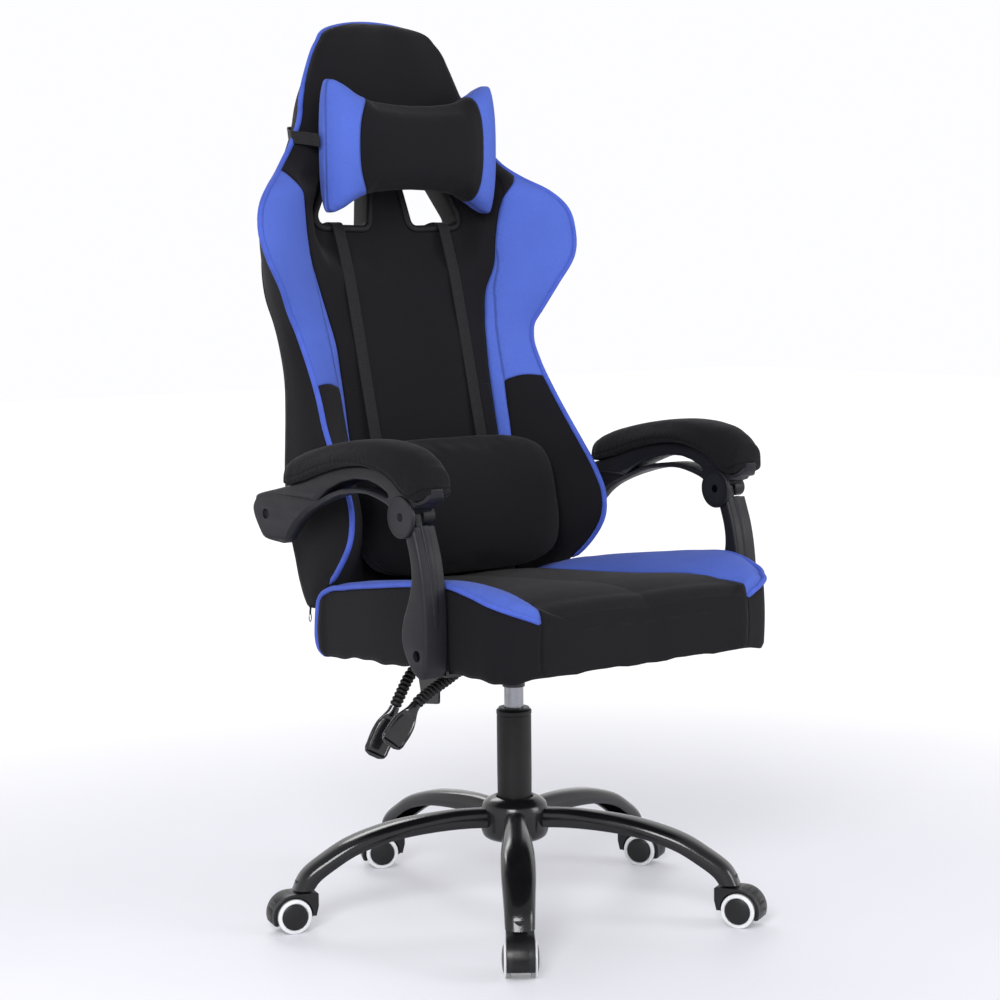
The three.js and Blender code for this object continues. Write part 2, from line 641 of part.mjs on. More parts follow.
/** Angle bracket that carries an armrest post: along the underside, then up the seat's side. */
function sideBracketGeometry() {
  const outer = BRACKET_INNER + BRACKET_THICKNESS;
  const [pivotY, pivotZ] = POST_PIVOT;
  const low = flangeTop - BRACKET_THICKNESS;
  const angle = new THREE.Shape();
  angle.moveTo(FLANGE_HALF_WIDTH + 25, flangeTop);
  angle.lineTo(FLANGE_HALF_WIDTH + 25, low);
  angle.lineTo(outer - 3, low);
  angle.quadraticCurveTo(outer, low, outer, low + 3);
  angle.lineTo(outer, pivotZ + 16);
  angle.lineTo(BRACKET_INNER, pivotZ + 16);
  angle.lineTo(BRACKET_INNER, flangeTop);
  angle.closePath();
  const strip = extrudeFront(angle, pivotY - BRACKET_HALF_LENGTH, pivotY + BRACKET_HALF_LENGTH);
  const hole = rod(PIN_RADIUS + CLEARANCE, BRACKET_INNER - 5, outer + 5, 'x', 12);
  return cut(strip, hole.translate(0, pivotY, pivotZ));
}

function addSeat() {
  add(standing, 'seat_board', seatBoardGeometry(), plywood);
  add(standing, 'seat_cushion', seatCushionGeometry(), blackFabric);
  add(standing, 'side_bracket_right', sideBracketGeometry(), blackPaint);
  add(standing, 'side_bracket_left', sideBracketGeometry().scale(-1, 1, 1), blackPaint);
}

// ---------------------------------------------------------------- levers

// Each rod's path in its own plane: [x, z], from the housing's wall outwards
const LEVER_ROUTES = {
  height: [[-100, 383], [-128, 369], [-150, 358], [-180, 344], [-203, 330], [-214, 318]],
  recline: [[-112, 379], [-141, 373], [-162, 356], [-179, 331], [-189, 315], [-197, 301]],
};
const HANDLE_SECTIONS = [ // distance along, half width, half thickness
  [0, 7.5, 6.5], [12, 9, 6], [26, 14, 4.6], [44, 15.5, 4], [60, 14, 3.4], [65, 9, 2.4],
];

/** Corrugated rubber sleeve around part of a lever rod that lies in one X-Z plane. */
function sleeveGeometry(path, from, to) {
  const ridges = Math.round(((to - from) * path.getLength()) / SLEEVE_PITCH);
  const sides = 8;
  const rings = [];
  const ring = (share, radius) => {
    const at = path.getPointAt(share);
    const along = path.getTangentAt(share);
    const up = new THREE.Vector3().crossVectors(Y, along);
    rings.push(padRing(at, Y, up, radius, radius, sides, 1));
  };
  for (let i = 0; i <= 2 * ridges; i += 1) {
    ring(from + ((to - from) * i) / (2 * ridges), i % 2 ? SLEEVE_RADIUS : SLEEVE_RADIUS - 1.7);
  }
  const outer = loft(rings);
  rings.length = 0;
  const past = 0.03;
  for (let i = 0; i <= 8; i += 1) {
    ring(from - past + ((to - from + 2 * past) * i) / 8, LEVER_ROD_RADIUS + 1);
  }
  return cut(outer, loft(rings));
}

/** Flat paddle grip on the end of a lever rod, its broad face turned towards the front corner. */
function handleGeometry(path, start) {
  const at = path.getPointAt(start);
  const along = path.getTangentAt(1);
  const face = new THREE.Vector3(-0.5, -0.86, 0);
  face.addScaledVector(along, -face.dot(along)).normalize();
  const across = new THREE.Vector3().crossVectors(along, face);
  const rings = HANDLE_SECTIONS.map(([distance, halfAcross, halfThick]) => {
    const middle = at.clone().addScaledVector(along, distance);
    return padRing(middle, across, face, halfAcross, halfThick, 12, 0.5);
  });
  const socket = bar(path, LEVER_ROD_RADIUS + CLEARANCE, 24);
  return cut(loft(rings), socket);
}

function addLever(lever, innerPoints) {
  const plane = leverPlanes[lever];
  const outerPoints = LEVER_ROUTES[lever].map(([x, z]) => [x, plane, z]);
  const wall = [LEVER_PIVOT_X, plane, leverHeights[lever]];
  const inner = new THREE.CatmullRomCurve3(vectors([...innerPoints, wall]));
  const outer = new THREE.CatmullRomCurve3(vectors([wall, ...outerPoints]));
  const whole = new THREE.CatmullRomCurve3(vectors([...innerPoints, wall, ...outerPoints]));
  const handleStart = 1 - 16 / whole.getLength();
  const sleeveStart = (inner.getLength() + 0.3 * outer.getLength()) / whole.getLength();
  const sleeveEnd = handleStart - 2.5 / whole.getLength();
  add(standing, `${lever}_lever_rod`, bar(whole, LEVER_ROD_RADIUS, 20), zincSteel);
  add(standing, `${lever}_lever_sleeve`, sleeveGeometry(whole, sleeveStart, sleeveEnd), rubber);
  add(standing, `${lever}_lever_handle`, handleGeometry(whole, handleStart), glossPlastic);
}

function addLevers() {
  const level = leverHeights.height;
  addLever('height', [[0, 5, level], [0, -26, level], [-12, leverPlanes.height, level]]);
  addLever('recline', [[-22, leverPlanes.recline, leverHeights.recline]]);
}

// ---------------------------------------------------------------- back

const back = new THREE.Group(); // on the hinge, leaning; its Z runs up the back and its +Y to the rear
back.position.set(0, ...HINGE);
back.rotation.x = -BACK_LEAN * degrees;
standing.add(back);

// Back sections: [height, half width, edge y, panel seam x, y, middle y, rear half width, rear y]
const BACK_SECTIONS = [
  [44, 205, -8, 140, -4, -4, 200, 24],
  [60, 218, -24, 140, -6, -6, 214, 28],
  [85, 227, -70, 140, -9, -9, 221, 32],
  [117, 230, -112, 140, -11, -11, 225, 36],
  [155, 230, -128, 140, -12, -12, 226, 40],
  [197, 227, -120, 138, -12, -13, 223, 44],
  [260, 223, -88, 137, -12, -14, 218, 46],
  [332, 213, -59, 137, -12, -14, 207, 47],
  [410, 209, -32, 138, -12, -11, 203, 47],
  [458, 229, -40, 144, -10, -6, 214, 46],
  [513, 266, -71, 160, -15, 1, 228, 44],
  [573, 285, -77, 173, -25, 8, 222, 41],
  [615, 274, -74, 179, -37, 12, 210, 39],
  [650, 238, -52, 176, -42, 9, 188, 38],
  [690, 196, -27, 152, -34, -8, 164, 37],
  [730, 167, -23, 130, -28, -27, 140, 35],
  [770, 154, -22, 118, -30, -38, 118, 33],
  [830, 138, -23, 106, -32, -42, 100, 30],
  [869, 117, -27, 92, -34, -38, 84, 24],
  [893, 86, -22, 66, -27, -28, 62, 14],
  [904, 50, -10, 38, -13, -13, 36, 4],
];

/** Outline of the back at one height, as [x, y] points, moved outwards by a spread. */
function backOutline(height, spread = 0) {
  const columns = BACK_SECTIONS[0].map((_, column) => between(BACK_SECTIONS, column, height));
  const [, , edge, , seamY, front, , rear] = columns;
  const [half, seamX, rearHalf] = [columns[1], columns[3], columns[6]].map((x) => x * BODY_WIDTH);
  const wing = (share, bulge) => [seamX + (half - seamX) * share, seamY + (edge - seamY) * share - bulge];
  const dish = (share, rise) => [seamX * share, front * (1 - rise) + seamY * rise];
  const right = [
    dish(0.42, 0.06), dish(0.76, 0.4), [seamX, seamY], wing(0.35, 5), wing(0.72, 7),
    [half - 5, edge - 3], [half + 1, edge + 7],
    [(half + rearHalf) / 2 + 3, (edge + rear * 0.5) / 2], [rearHalf, rear * 0.5], [rearHalf * 0.62, rear - 3],
  ];
  const left = right.map(([x, y]) => [-x, y]).reverse();
  const outline = [[0, front], ...right, [0, rear], ...left];
  if (spread === 0) return outline;
  const count = outline.length;
  return outline.map(([x, y], i) => {
    const [beforeX, beforeY] = outline[(i + count - 1) % count];
    const [afterX, afterY] = outline[(i + 1) % count];
    const out = new THREE.Vector2(afterY - beforeY, beforeX - afterX).setLength(spread);
    return [x + out.x, y + out.y];
  });
}

function backRing(height, spread = 0) {
  return backOutline(height, spread).map(([x, y]) => new THREE.Vector3(x, y, height));
}

/** The same harness slot outline for the bezel and its cushion, spread outwards and mirrored at will. */
function slotShape(side, spread) {
  const corners = SLOT_CORNERS.map(([x, height]) => [side * x, height]);
  if (side < 0) corners.reverse();
  return roundedOutline(corners, SLOT_CORNER_RADIUS + spread / 2, spread);
}

function backCushionGeometry() {
  const slots = [-1, 1].flatMap((side) => [
    extrudeFront(slotShape(side, BEZEL_WALL + 0.4), -120, 90),
    extrudeFront(slotShape(side, BEZEL_FLANGE + 0.8), -120, SLOT_DEPTH_FRONT + 0.4),
  ]);
  const pocket = box(
    [-BAR_HALF_WIDTH - 0.4, 3.6, 20],
    [BAR_HALF_WIDTH + 0.4, 4.4 + BAR_THICKNESS, BAR_TOP + 0.4],
  );
  const [rearY, rearZ] = linkInBack(ARM_REAR_PIVOT);
  const mounts = [-1, 1].flatMap((side) => {
    const seat = [side * BACK_SIDE, side * (BACK_SIDE + 34)].sort((a, b) => a - b);
    const hole = [side * (BACK_SIDE - 24), side * (BACK_SIDE + 14)].sort((a, b) => a - b);
    return [
      rod(SPACER_RADIUS + 0.4, ...seat, 'x', 16).translate(0, rearY, rearZ),
      rod(PIN_RADIUS + 0.4, ...hole, 'x', 12).translate(0, rearY, rearZ),
    ];
  });
  const rings = BACK_SECTIONS.map(([height]) => backRing(height));
  return cut(loft(rings), ...slots, pocket, ...mounts);
}

/** A [y, z] point of the standing frame in the back's own frame. */
function linkInBack([y, z]) {
  const point = new THREE.Vector2(y - HINGE[0], z - HINGE[1]);
  point.rotateAround(new THREE.Vector2(), BACK_LEAN * degrees);
  return [point.x, point.y];
}
/** Steel upright: a hinge eye, and a blade that rises into the back's pocket. */
function backBarGeometry() {
  const inner = HOUSING_HALF_WIDTH - SHEET - 0.5;
  const eye = rod(HINGE_EYE_RADIUS, -inner, inner, 'x', 20);
  const blade = box([-BAR_HALF_WIDTH, 4, 2], [BAR_HALF_WIDTH, 4 + BAR_THICKNESS, BAR_TOP]);
  const pinHole = rod(HINGE_PIN_RADIUS + CLEARANCE, -90, 90, 'x', 12);
  return cut(join(eye, blade), pinHole);
}

function bezelGeometry(side) {
  const wall = extrudeFront(slotShape(side, BEZEL_WALL), SLOT_DEPTH_FRONT - 1, SLOT_DEPTH_REAR);
  const flangeFront = SLOT_DEPTH_FRONT - BEZEL_FLANGE_THICKNESS;
  const flange = extrudeFront(slotShape(side, BEZEL_FLANGE), flangeFront, SLOT_DEPTH_FRONT);
  const rearLip = extrudeFront(slotShape(side, BEZEL_REAR_LIP), SLOT_DEPTH_REAR - 0.8, SLOT_DEPTH_REAR + 1.8);
  const hole = extrudeFront(slotShape(side, 0), -20, 90);
  return cut(join(wall, flange, rearLip), hole);
}

/** Pillow: a rounded block, thick in the middle and pinched at its edges. */
function pillowGeometry({ halfWidth, halfHeight, halfThickness, waist }) {
  const shares = [-1, -0.93, -0.75, -0.45, 0, 0.45, 0.75, 0.93, 1];
  const rings = shares.map((share) => {
    const plump = Math.sqrt(Math.max(1 - share ** 4, 0.03));
    const tall = halfHeight * (1 - waist * (1 - share ** 2)) * (0.55 + 0.45 * Math.sqrt(1 - share ** 8));
    const middle = new THREE.Vector3(share * halfWidth, 0, 0);
    return padRing(middle, Y, Z, halfThickness * plump, tall, 14, 0.8);
  });
  return loft(rings);
}

const STRAP_X = 97;
const STRAP_WIDTH = 20;
const STRAP_THICKNESS = 1.6;
const HEAD_STRAP_WIDTH = 19;
// Each pillow's middle, [y, height] in the back's frame, its half sizes, its waist and its lean
const HEAD_PILLOW = {
  middle: [-84, 708], halfWidth: 144 * BODY_WIDTH, halfHeight: 96, halfThickness: 44, waist: 0.14, lean: 7,
};
const LUMBAR_PILLOW = {
  middle: [-68, 168], halfWidth: 172 * BODY_WIDTH, halfHeight: 100, halfThickness: 47, waist: -0.04, lean: 0,
};

/** Lumbar strap: from the pillow's top up to its slot, over the lip and down behind the back. */
function lumbarStrapGeometry(side) {
  const lip = 603;
  const route = [
    [-22, 268], [-18, 330], [-13, 410], [-9.5, 470], [-8, 530], [-6.5, 573], [-4, lip - 12], [3, lip + 1],
    [12, lip + 5], [30, lip + 6], [42, lip + 5.5], [49.5, lip + 1], [50.5, lip - 8], [50.5, lip - 170],
  ];
  const rings = route.map(([y, z], i) => {
    const [beforeY, beforeZ] = route[Math.max(i - 1, 0)];
    const [afterY, afterZ] = route[Math.min(i + 1, route.length - 1)];
    const along = new THREE.Vector3(0, afterY - beforeY, afterZ - beforeZ).normalize();
    const normal = new THREE.Vector3().crossVectors(X, along);
    return [[-1, -1], [1, -1], [1, 1], [-1, 1]].map(([a, b]) => (
      new THREE.Vector3(side * STRAP_X, y, z)
        .addScaledVector(X, (a * STRAP_WIDTH) / 2)
        .addScaledVector(normal, (b * STRAP_THICKNESS) / 2)
    ));
  });
  return loft(rings);
}

/** Band from one end of the head pillow round the back's neck to the other, sloping down to the front. */
function headStrapGeometry() {
  const slope = 0.36;
  const level = 736;
  const edge = (rise) => {
    const heightAt = (y) => level + rise + slope * y;
    const sample = backOutline(level + rise);
    const count = sample.length;
    const firstOnBack = sample.findIndex(([x]) => x === Math.max(...sample.map((point) => point[0])));
    const onBack = Array.from({ length: count - 2 * firstOnBack + 1 }, (_, i) => firstOnBack + i);
    return (spread) => {
      const round = onBack.map((index) => {
        const height = heightAt(sample[index][1]);
        const [x, y] = backOutline(height, spread)[index];
        return new THREE.Vector3(x, y, height);
      });
      const ends = [1, -1].map((side) => {
        const endY = HEAD_PILLOW.middle[0] - 2;
        return new THREE.Vector3(side * (HEAD_PILLOW.halfWidth - 1.3 + spread), endY, heightAt(endY));
      });
      return [ends[0], ...round, ends[1]];
    };
  };
  const low = edge(-HEAD_STRAP_WIDTH / 2);
  const high = edge(HEAD_STRAP_WIDTH / 2);
  const [lowIn, lowOut, highOut, highIn] = [low(2.1), low(3.7), high(3.7), high(2.1)];
  return loft(lowIn.map((point, i) => [point, lowOut[i], highOut[i], highIn[i]]));
}

function addBack() {
  add(back, 'back_bar', backBarGeometry(), blackPaint);
  add(back, 'back_cushion', backCushionGeometry(), blackFabric);
  for (const [name, side] of [['left', -1], ['right', 1]]) {
    add(back, `slot_bezel_${name}`, bezelGeometry(side), castorPlastic);
    add(back, `lumbar_strap_${name}`, lumbarStrapGeometry(side), webbing);
  }
  add(back, 'head_strap', headStrapGeometry(), webbing);
  for (const [name, pillow] of [['head_pillow', HEAD_PILLOW], ['lumbar_pillow', LUMBAR_PILLOW]]) {
    const mesh = add(back, name, pillowGeometry(pillow), blackFabric);
    mesh.position.set(0, ...pillow.middle);
    mesh.rotation.x = pillow.lean * degrees;
  }
}

// ---------------------------------------------------------------- armrests

// Upper edge of the arm frame, where the pad seats: [y, z] from the front lip to the rear
const PAD_SEAT = [
  [-188, 634], [-184, 629], [-175, 627.5], [-163, 631], [-149, 640], [-118, 657], [-87, 666.5],
  [-56, 669], [-8, 665], [38, 655.5], [92, 641], [140, 628], [196, 612],
];
// Lower edge back to the front, down to the knuckle
const ARM_UNDERSIDE = [
  [207, 606], [213, 592], [210, 577], [190, 553], [176, 547], [150, 546], [122, 551], [104, 566],
  [85, 589], [60, 603], [29, 615.5], [-7, 626], [-39, 630.5], [-71, 629], [-100, 622.5], [-122, 615],
];
const SLOT_OUTLINE = [
  [64, 611], [38, 624.5], [-7, 642.5], [-56, 650.5], [-88, 648], [-112, 639], [-127, 629.5],
  [-126, 625], [-100, 629.5], [-71, 635.5], [-39, 637], [-7, 632.5], [29, 622],
];

function splineOutline(points) {
  return points.map(([y, z]) => new THREE.Vector2(y, z));
}

/** Moulded arm: arched rail with a see-through slot, rear boss, front knuckle with its disc. */
function armFrameGeometry() {
  const [knuckleY, knuckleZ] = ARM_FRONT_PIVOT;
  const side = new THREE.Shape();
  side.moveTo(...PAD_SEAT[0]);
  side.splineThru(splineOutline(PAD_SEAT.slice(1)));
  side.splineThru(splineOutline(ARM_UNDERSIDE));
  side.lineTo(knuckleY + 12, knuckleZ - 2);
  side.lineTo(knuckleY - 10, knuckleZ + 4);
  side.lineTo(knuckleY - 14, knuckleZ + 15);
  side.lineTo(knuckleY - 36, knuckleZ + 19);
  side.lineTo(knuckleY - 43, knuckleZ + 26);
  side.closePath();
  side.holes.push(new THREE.Path().setFromPoints(splineOutline(SLOT_OUTLINE)));
  const rail = extrudeSide(side, -ARM_HALF_WIDTH - 3, ARM_HALF_WIDTH + 3, 0, 1);
  const plan = new THREE.Shape();
  plan.moveTo(-ARM_HALF_WIDTH, -160);
  plan.absarc(0, -166, ARM_HALF_WIDTH + 3, Math.PI, 2 * Math.PI, false);
  plan.lineTo(ARM_HALF_WIDTH + 3, 60);
  plan.lineTo(ARM_HALF_WIDTH - 3, 150);
  plan.lineTo(ARM_HALF_WIDTH - 3, 220);
  plan.lineTo(-ARM_HALF_WIDTH + 3, 220);
  plan.lineTo(-ARM_HALF_WIDTH + 3, 150);
  plan.lineTo(-ARM_HALF_WIDTH - 3, 60);
  plan.closePath();
  const planBody = new THREE.ExtrudeGeometry(plan, { depth: 300, bevelEnabled: false, curveSegments: 8 });
  const body = overlap(rail, planBody.translate(0, 0, 450));
  const atFront = (geometry) => geometry.translate(0, knuckleY, knuckleZ);
  const atRear = (geometry) => geometry.translate(0, ...ARM_REAR_PIVOT);
  const barrel = atFront(rod(KNUCKLE_RADIUS, -KNUCKLE_HALF_WIDTH, KNUCKLE_HALF_WIDTH, 'x', 18));
  const discInner = KNUCKLE_DISC_THICKNESS - KNUCKLE_HALF_WIDTH;
  const disc = atFront(rod(KNUCKLE_DISC_RADIUS, -KNUCKLE_HALF_WIDTH, discInner, 'x', 28));
  const gap = TONGUE_HALF_WIDTH + 0.5;
  const eyeRoom = atFront(rod(KNUCKLE_RADIUS + 0.6, -gap, gap, 'x', 18));
  const tongueRooms = [0, 18, 37].map((turn) => (
    atFront(box([-gap, -KNUCKLE_RADIUS, -40], [gap, KNUCKLE_RADIUS, 0]).rotateX(-turn * degrees))
  ));
  const pinHole = atFront(rod(PIN_RADIUS + CLEARANCE, -40, 40, 'x', 12));
  const pinRecess = atFront(rod(BOLT_HEAD_RADIUS + CLEARANCE, -40, 4 - KNUCKLE_HALF_WIDTH, 'x', 12));
  const boltHole = atRear(rod(PIN_RADIUS + CLEARANCE, -40, 40, 'x', 12));
  const recessDepth = ARM_HALF_WIDTH - 10;
  const recesses = [[-40, -recessDepth], [recessDepth, 40]]
    .map(([from, to]) => atRear(rod(BOLT_HEAD_RADIUS + CLEARANCE, from, to, 'x', 12)));
  const tools = [eyeRoom, ...tongueRooms, pinHole, pinRecess, boltHole, ...recesses];
  return cut(join(body, barrel, disc), ...tools);
}

// Pad sections: [y, half width, crown z]
const PAD_SECTIONS = [
  [-202, 12, 650], [-199, 20, 664], [-188, 29, 680], [-165, 35, 695], [-130, 37, 703.5], [-90, 38, 706.5],
  [-45, 37, 704.5], [0, 36, 699.5], [50, 34, 690.5], [90, 33, 680.5], [120, 31, 671.5], [134, 25, 662],
  [139, 14, 652],
];

/** Padded top, crowned along and across, cut to seat on the arm frame. */
function armPadGeometry() {
  const rings = PAD_SECTIONS.map(([y, half, crown]) => {
    const low = crown - 60;
    const middle = new THREE.Vector3(0, y, low);
    return padRing(middle, X, Z, half, crown - low, 16, 0.62);
  });
  const seat = new THREE.Shape();
  const raised = PAD_SEAT.map(([y, z]) => new THREE.Vector2(y, z + 0.4));
  const [nose, low] = [PAD_SEAT[0][0] - 70, PAD_SEAT[0][1] - 130];
  seat.moveTo(nose, low);
  seat.lineTo(nose, PAD_SEAT[0][1] + 2);
  seat.lineTo(raised[0].x - 4, raised[0].y + 2);
  seat.lineTo(raised[0].x, raised[0].y);
  seat.splineThru(raised.slice(1));
  seat.lineTo(230, low);
  seat.closePath();
  return cut(loft(rings), extrudeSide(seat, -60, 60, 0, 1));
}

const POST_FRONT = [[-168, 592], [-182, 552], [-190, 510], [-193, 465], [-192, 415], [-187, 398]];
const POST_REAR = [
  [-178, 393], [-165, 400], [-152, 414], [-143, 430], [-139, 447], [-143, 468], [-155, 496],
  [-162, 522], [-160, 548], [-151, 576], [-146, 589],
];

/** Curved post: bolted eye at the seat, a tongue with an eye at the armrest's knuckle. */
function armPostGeometry() {
  const side = new THREE.Shape();
  side.moveTo(...POST_FRONT[0]);
  side.splineThru(splineOutline(POST_FRONT.slice(1)));
  side.splineThru(splineOutline(POST_REAR));
  side.closePath();
  const blade = extrudeSide(side, -POST_HALF_WIDTH, POST_HALF_WIDTH, 2.5, 1);
  const [knuckleY, knuckleZ] = ARM_FRONT_PIVOT;
  const atTop = (geometry) => geometry.translate(0, knuckleY, knuckleZ);
  const atSeat = (geometry) => geometry.translate(0, ...POST_PIVOT);
  const shoulderRoom = atTop(rod(KNUCKLE_RADIUS + 0.8, -40, 40, 'x', 18));
  const eye = atTop(rod(KNUCKLE_RADIUS - 0.2, -TONGUE_HALF_WIDTH, TONGUE_HALF_WIDTH, 'x', 18));
  const neck = atTop(box([-TONGUE_HALF_WIDTH, -16, -26], [TONGUE_HALF_WIDTH, -1, -6]));
  const pinHole = atTop(rod(PIN_RADIUS + CLEARANCE, -30, 30, 'x', 12));
  const boltHole = atSeat(rod(PIN_RADIUS + CLEARANCE, -30, 30, 'x', 12));
  const recess = atSeat(rod(BOLT_HEAD_RADIUS + CLEARANCE, POST_HALF_WIDTH - 8, 30, 'x', 12));
  return cut(join(cut(blade, shoulderRoom), eye, neck), pinHole, boltHole, recess);
}

/** Bolt along X: shank from one x to another, with its head at the far end. */
function boltGeometry(from, to, headThickness) {
  const seat = to - headThickness;
  return revolve([
    [0, from], [PIN_RADIUS, from], [PIN_RADIUS, seat], [BOLT_HEAD_RADIUS, seat], [BOLT_HEAD_RADIUS, to - 0.8],
    [BOLT_HEAD_RADIUS - 0.8, to], [0, to],
  ], 12).rotateY(Math.PI / 2);
}

/** Rear bolt from the arm into the back's side, with its spacer sleeve. */
function rearBoltGeometry() {
  const spacerFrom = BACK_SIDE + CLEARANCE;
  const spacerTo = ARM_SPACING - (ARM_HALF_WIDTH - 3) - CLEARANCE;
  const end = ARM_SPACING + (ARM_HALF_WIDTH - 10) + CLEARANCE + 4;
  const bolt = boltGeometry(BACK_SIDE - 22, end, 4);
  return join(bolt, rod(SPACER_RADIUS, spacerFrom, spacerTo, 'x', 16));
}

function addArms() {
  const bracketFace = BRACKET_INNER + 0.5;
  const postBoltEnd = ARM_SPACING + POST_HALF_WIDTH - 8 + CLEARANCE + 4;
  for (const [name, side] of [['left', -1], ['right', 1]]) {
    const arm = new THREE.Group();
    arm.position.x = side * ARM_SPACING;
    standing.add(arm);
    add(arm, `arm_frame_${name}`, armFrameGeometry(), armPlastic);
    add(arm, `arm_pad_${name}`, armPadGeometry(), blackFabric);
    const post = armPostGeometry();
    add(arm, `arm_post_${name}`, side < 0 ? mirrored(post) : post, armPlastic);
    const pin = boltGeometry(-KNUCKLE_HALF_WIDTH + 2, KNUCKLE_HALF_WIDTH - 4 + 3.4, 3.4).scale(-1, 1, 1);
    add(arm, `knuckle_pin_${name}`, pin, zincSteel).position.set(0, ...ARM_FRONT_PIVOT);
    const rear = rearBoltGeometry();
    const rearBolt = add(standing, `rear_bolt_${name}`, side < 0 ? mirrored(rear) : rear, zincSteel);
    rearBolt.position.set(0, ...ARM_REAR_PIVOT);
    const low = boltGeometry(bracketFace, postBoltEnd, 4);
    const postBolt = add(standing, `post_bolt_${name}`, side < 0 ? mirrored(low) : low, zincSteel);
    postBolt.position.set(0, ...POST_PIVOT);
  }
}

function mirrored(geometry) {
  return geometry.scale(-1, 1, 1);
}

// ---------------------------------------------------------------- whole chair

addBase();
addGasLift();
addMechanism();
addSeat();
addLevers();
addBack();
addArms();

export default chair;
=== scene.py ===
"""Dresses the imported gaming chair: covers, pillows, mouldings, painted steel, casters, floor and light."""

import json
import logging
import math
from dataclasses import dataclass
from enum import Enum
from typing import Optional, Sequence, Union

import bmesh
import bpy
import numpy as np
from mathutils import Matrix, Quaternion, Vector


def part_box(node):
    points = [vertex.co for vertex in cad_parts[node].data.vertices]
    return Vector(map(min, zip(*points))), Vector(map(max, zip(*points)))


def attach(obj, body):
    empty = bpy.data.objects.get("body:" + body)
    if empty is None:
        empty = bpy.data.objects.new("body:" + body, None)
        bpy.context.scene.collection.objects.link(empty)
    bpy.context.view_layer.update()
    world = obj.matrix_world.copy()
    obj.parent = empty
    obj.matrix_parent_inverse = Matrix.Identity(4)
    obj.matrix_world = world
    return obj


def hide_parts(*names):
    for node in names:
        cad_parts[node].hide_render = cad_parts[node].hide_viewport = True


Array = np.ndarray
Points = Sequence[Sequence[float]]
Table = tuple[tuple[float, ...], ...]
Socket = Optional[bpy.types.NodeSocket]
Input = Union[float, Sequence[float], bpy.types.NodeSocket]  # what a socket takes

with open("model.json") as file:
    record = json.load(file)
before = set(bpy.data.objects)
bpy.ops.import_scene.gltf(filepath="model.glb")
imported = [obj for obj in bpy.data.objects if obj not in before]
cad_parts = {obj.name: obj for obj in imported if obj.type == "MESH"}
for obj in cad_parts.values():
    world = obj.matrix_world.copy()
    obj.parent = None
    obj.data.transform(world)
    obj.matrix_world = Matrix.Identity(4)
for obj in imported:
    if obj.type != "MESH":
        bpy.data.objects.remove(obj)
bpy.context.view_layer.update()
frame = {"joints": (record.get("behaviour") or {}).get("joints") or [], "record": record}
JOINTS = {joint["name"]: joint for joint in frame["joints"]}
MM = 0.001
SIDE = {-1: "left", 1: "right"}
COLUMN = np.array([0.0, JOINTS["swivel"]["pos_m"][1], 0.0])  # foot of the gas lift's axis
LEAN = math.radians(11.5)  # the back behind upright

log = logging.getLogger("chair")


# ---------------------------------------------------------------- places and curves


def chair(points: Array) -> Array:
    """Millimetres from the gas lift's foot, turned into metres in the row frame."""
    return np.asarray(points, float) * MM + COLUMN


def joint_mm(name: str) -> Array:
    """A joint's point in millimetres from the gas lift's foot."""
    return (np.array(JOINTS[name]["pos_m"]) - COLUMN) / MM


HINGE = joint_mm("recline")


def on_back(points: Array) -> Array:
    """Points (x, depth behind the hinge, height up the back), in millimetres, set in the leaning back.

    The lean turns height towards the rear and depth downwards, about the recline hinge.
    """
    x, depth, height = np.moveaxis(np.asarray(points, float), -1, 0)
    y = HINGE[1] + height * math.sin(LEAN) + depth * math.cos(LEAN)
    z = HINGE[2] + height * math.cos(LEAN) - depth * math.sin(LEAN)
    return np.stack([x, y, z], -1)


def smooth(stations: Array, values: Array, at: Array) -> Array:
    """Cubic pieces through values at stations; the slope at a station is that of the chord across it.

    Args:
        stations: Rising station numbers.
        values: One row of values for each station, of any shape.
        at: Where to read the curve.

    Returns:
        The values at each place in at, along the first axis.
    """
    stations, values, at = (np.asarray(a, float) for a in (stations, values, at))
    slopes = np.gradient(values, stations, axis=0)
    i = np.clip(np.searchsorted(stations, at, side="right") - 1, 0, len(stations) - 2)
    shape = (-1,) + (1,) * (values.ndim - 1)
    span = (stations[i + 1] - stations[i]).reshape(shape)
    u = np.clip((at - stations[i]).reshape(shape) / span, 0, 1)
    start, end = values[i], values[i + 1]
    return (
        start
        + (end - start) * u * u * (3 - 2 * u)
        + span * (slopes[i] * u * (1 - u) ** 2 - slopes[i + 1] * u * u * (1 - u))
    )


def through(controls: Sequence[Array], count: int) -> Array:
    """A smooth line of count points through control points, or through control curves side by side."""
    stack = np.stack(np.broadcast_arrays(*controls))
    return smooth(np.arange(len(stack)), stack, np.linspace(0, len(stack) - 1, count))


def even(path: Array, count: int) -> Array:
    """The same line with its points spread evenly by length."""
    steps = np.linalg.norm(np.diff(path, axis=0), axis=1)
    length = np.concatenate([[0], np.cumsum(steps)])
    keep = np.concatenate([[True], steps > 1e-9])
    return smooth(length[keep], path[keep], np.linspace(0, length[-1], count))


def ease(value: Array, low: float, high: float) -> Array:
    """0 at low, 1 at high, level at both ends: 3u squared less 2u cubed."""
    u = np.clip((np.asarray(value, float) - low) / (high - low), 0, 1)
    return u * u * (3 - 2 * u)


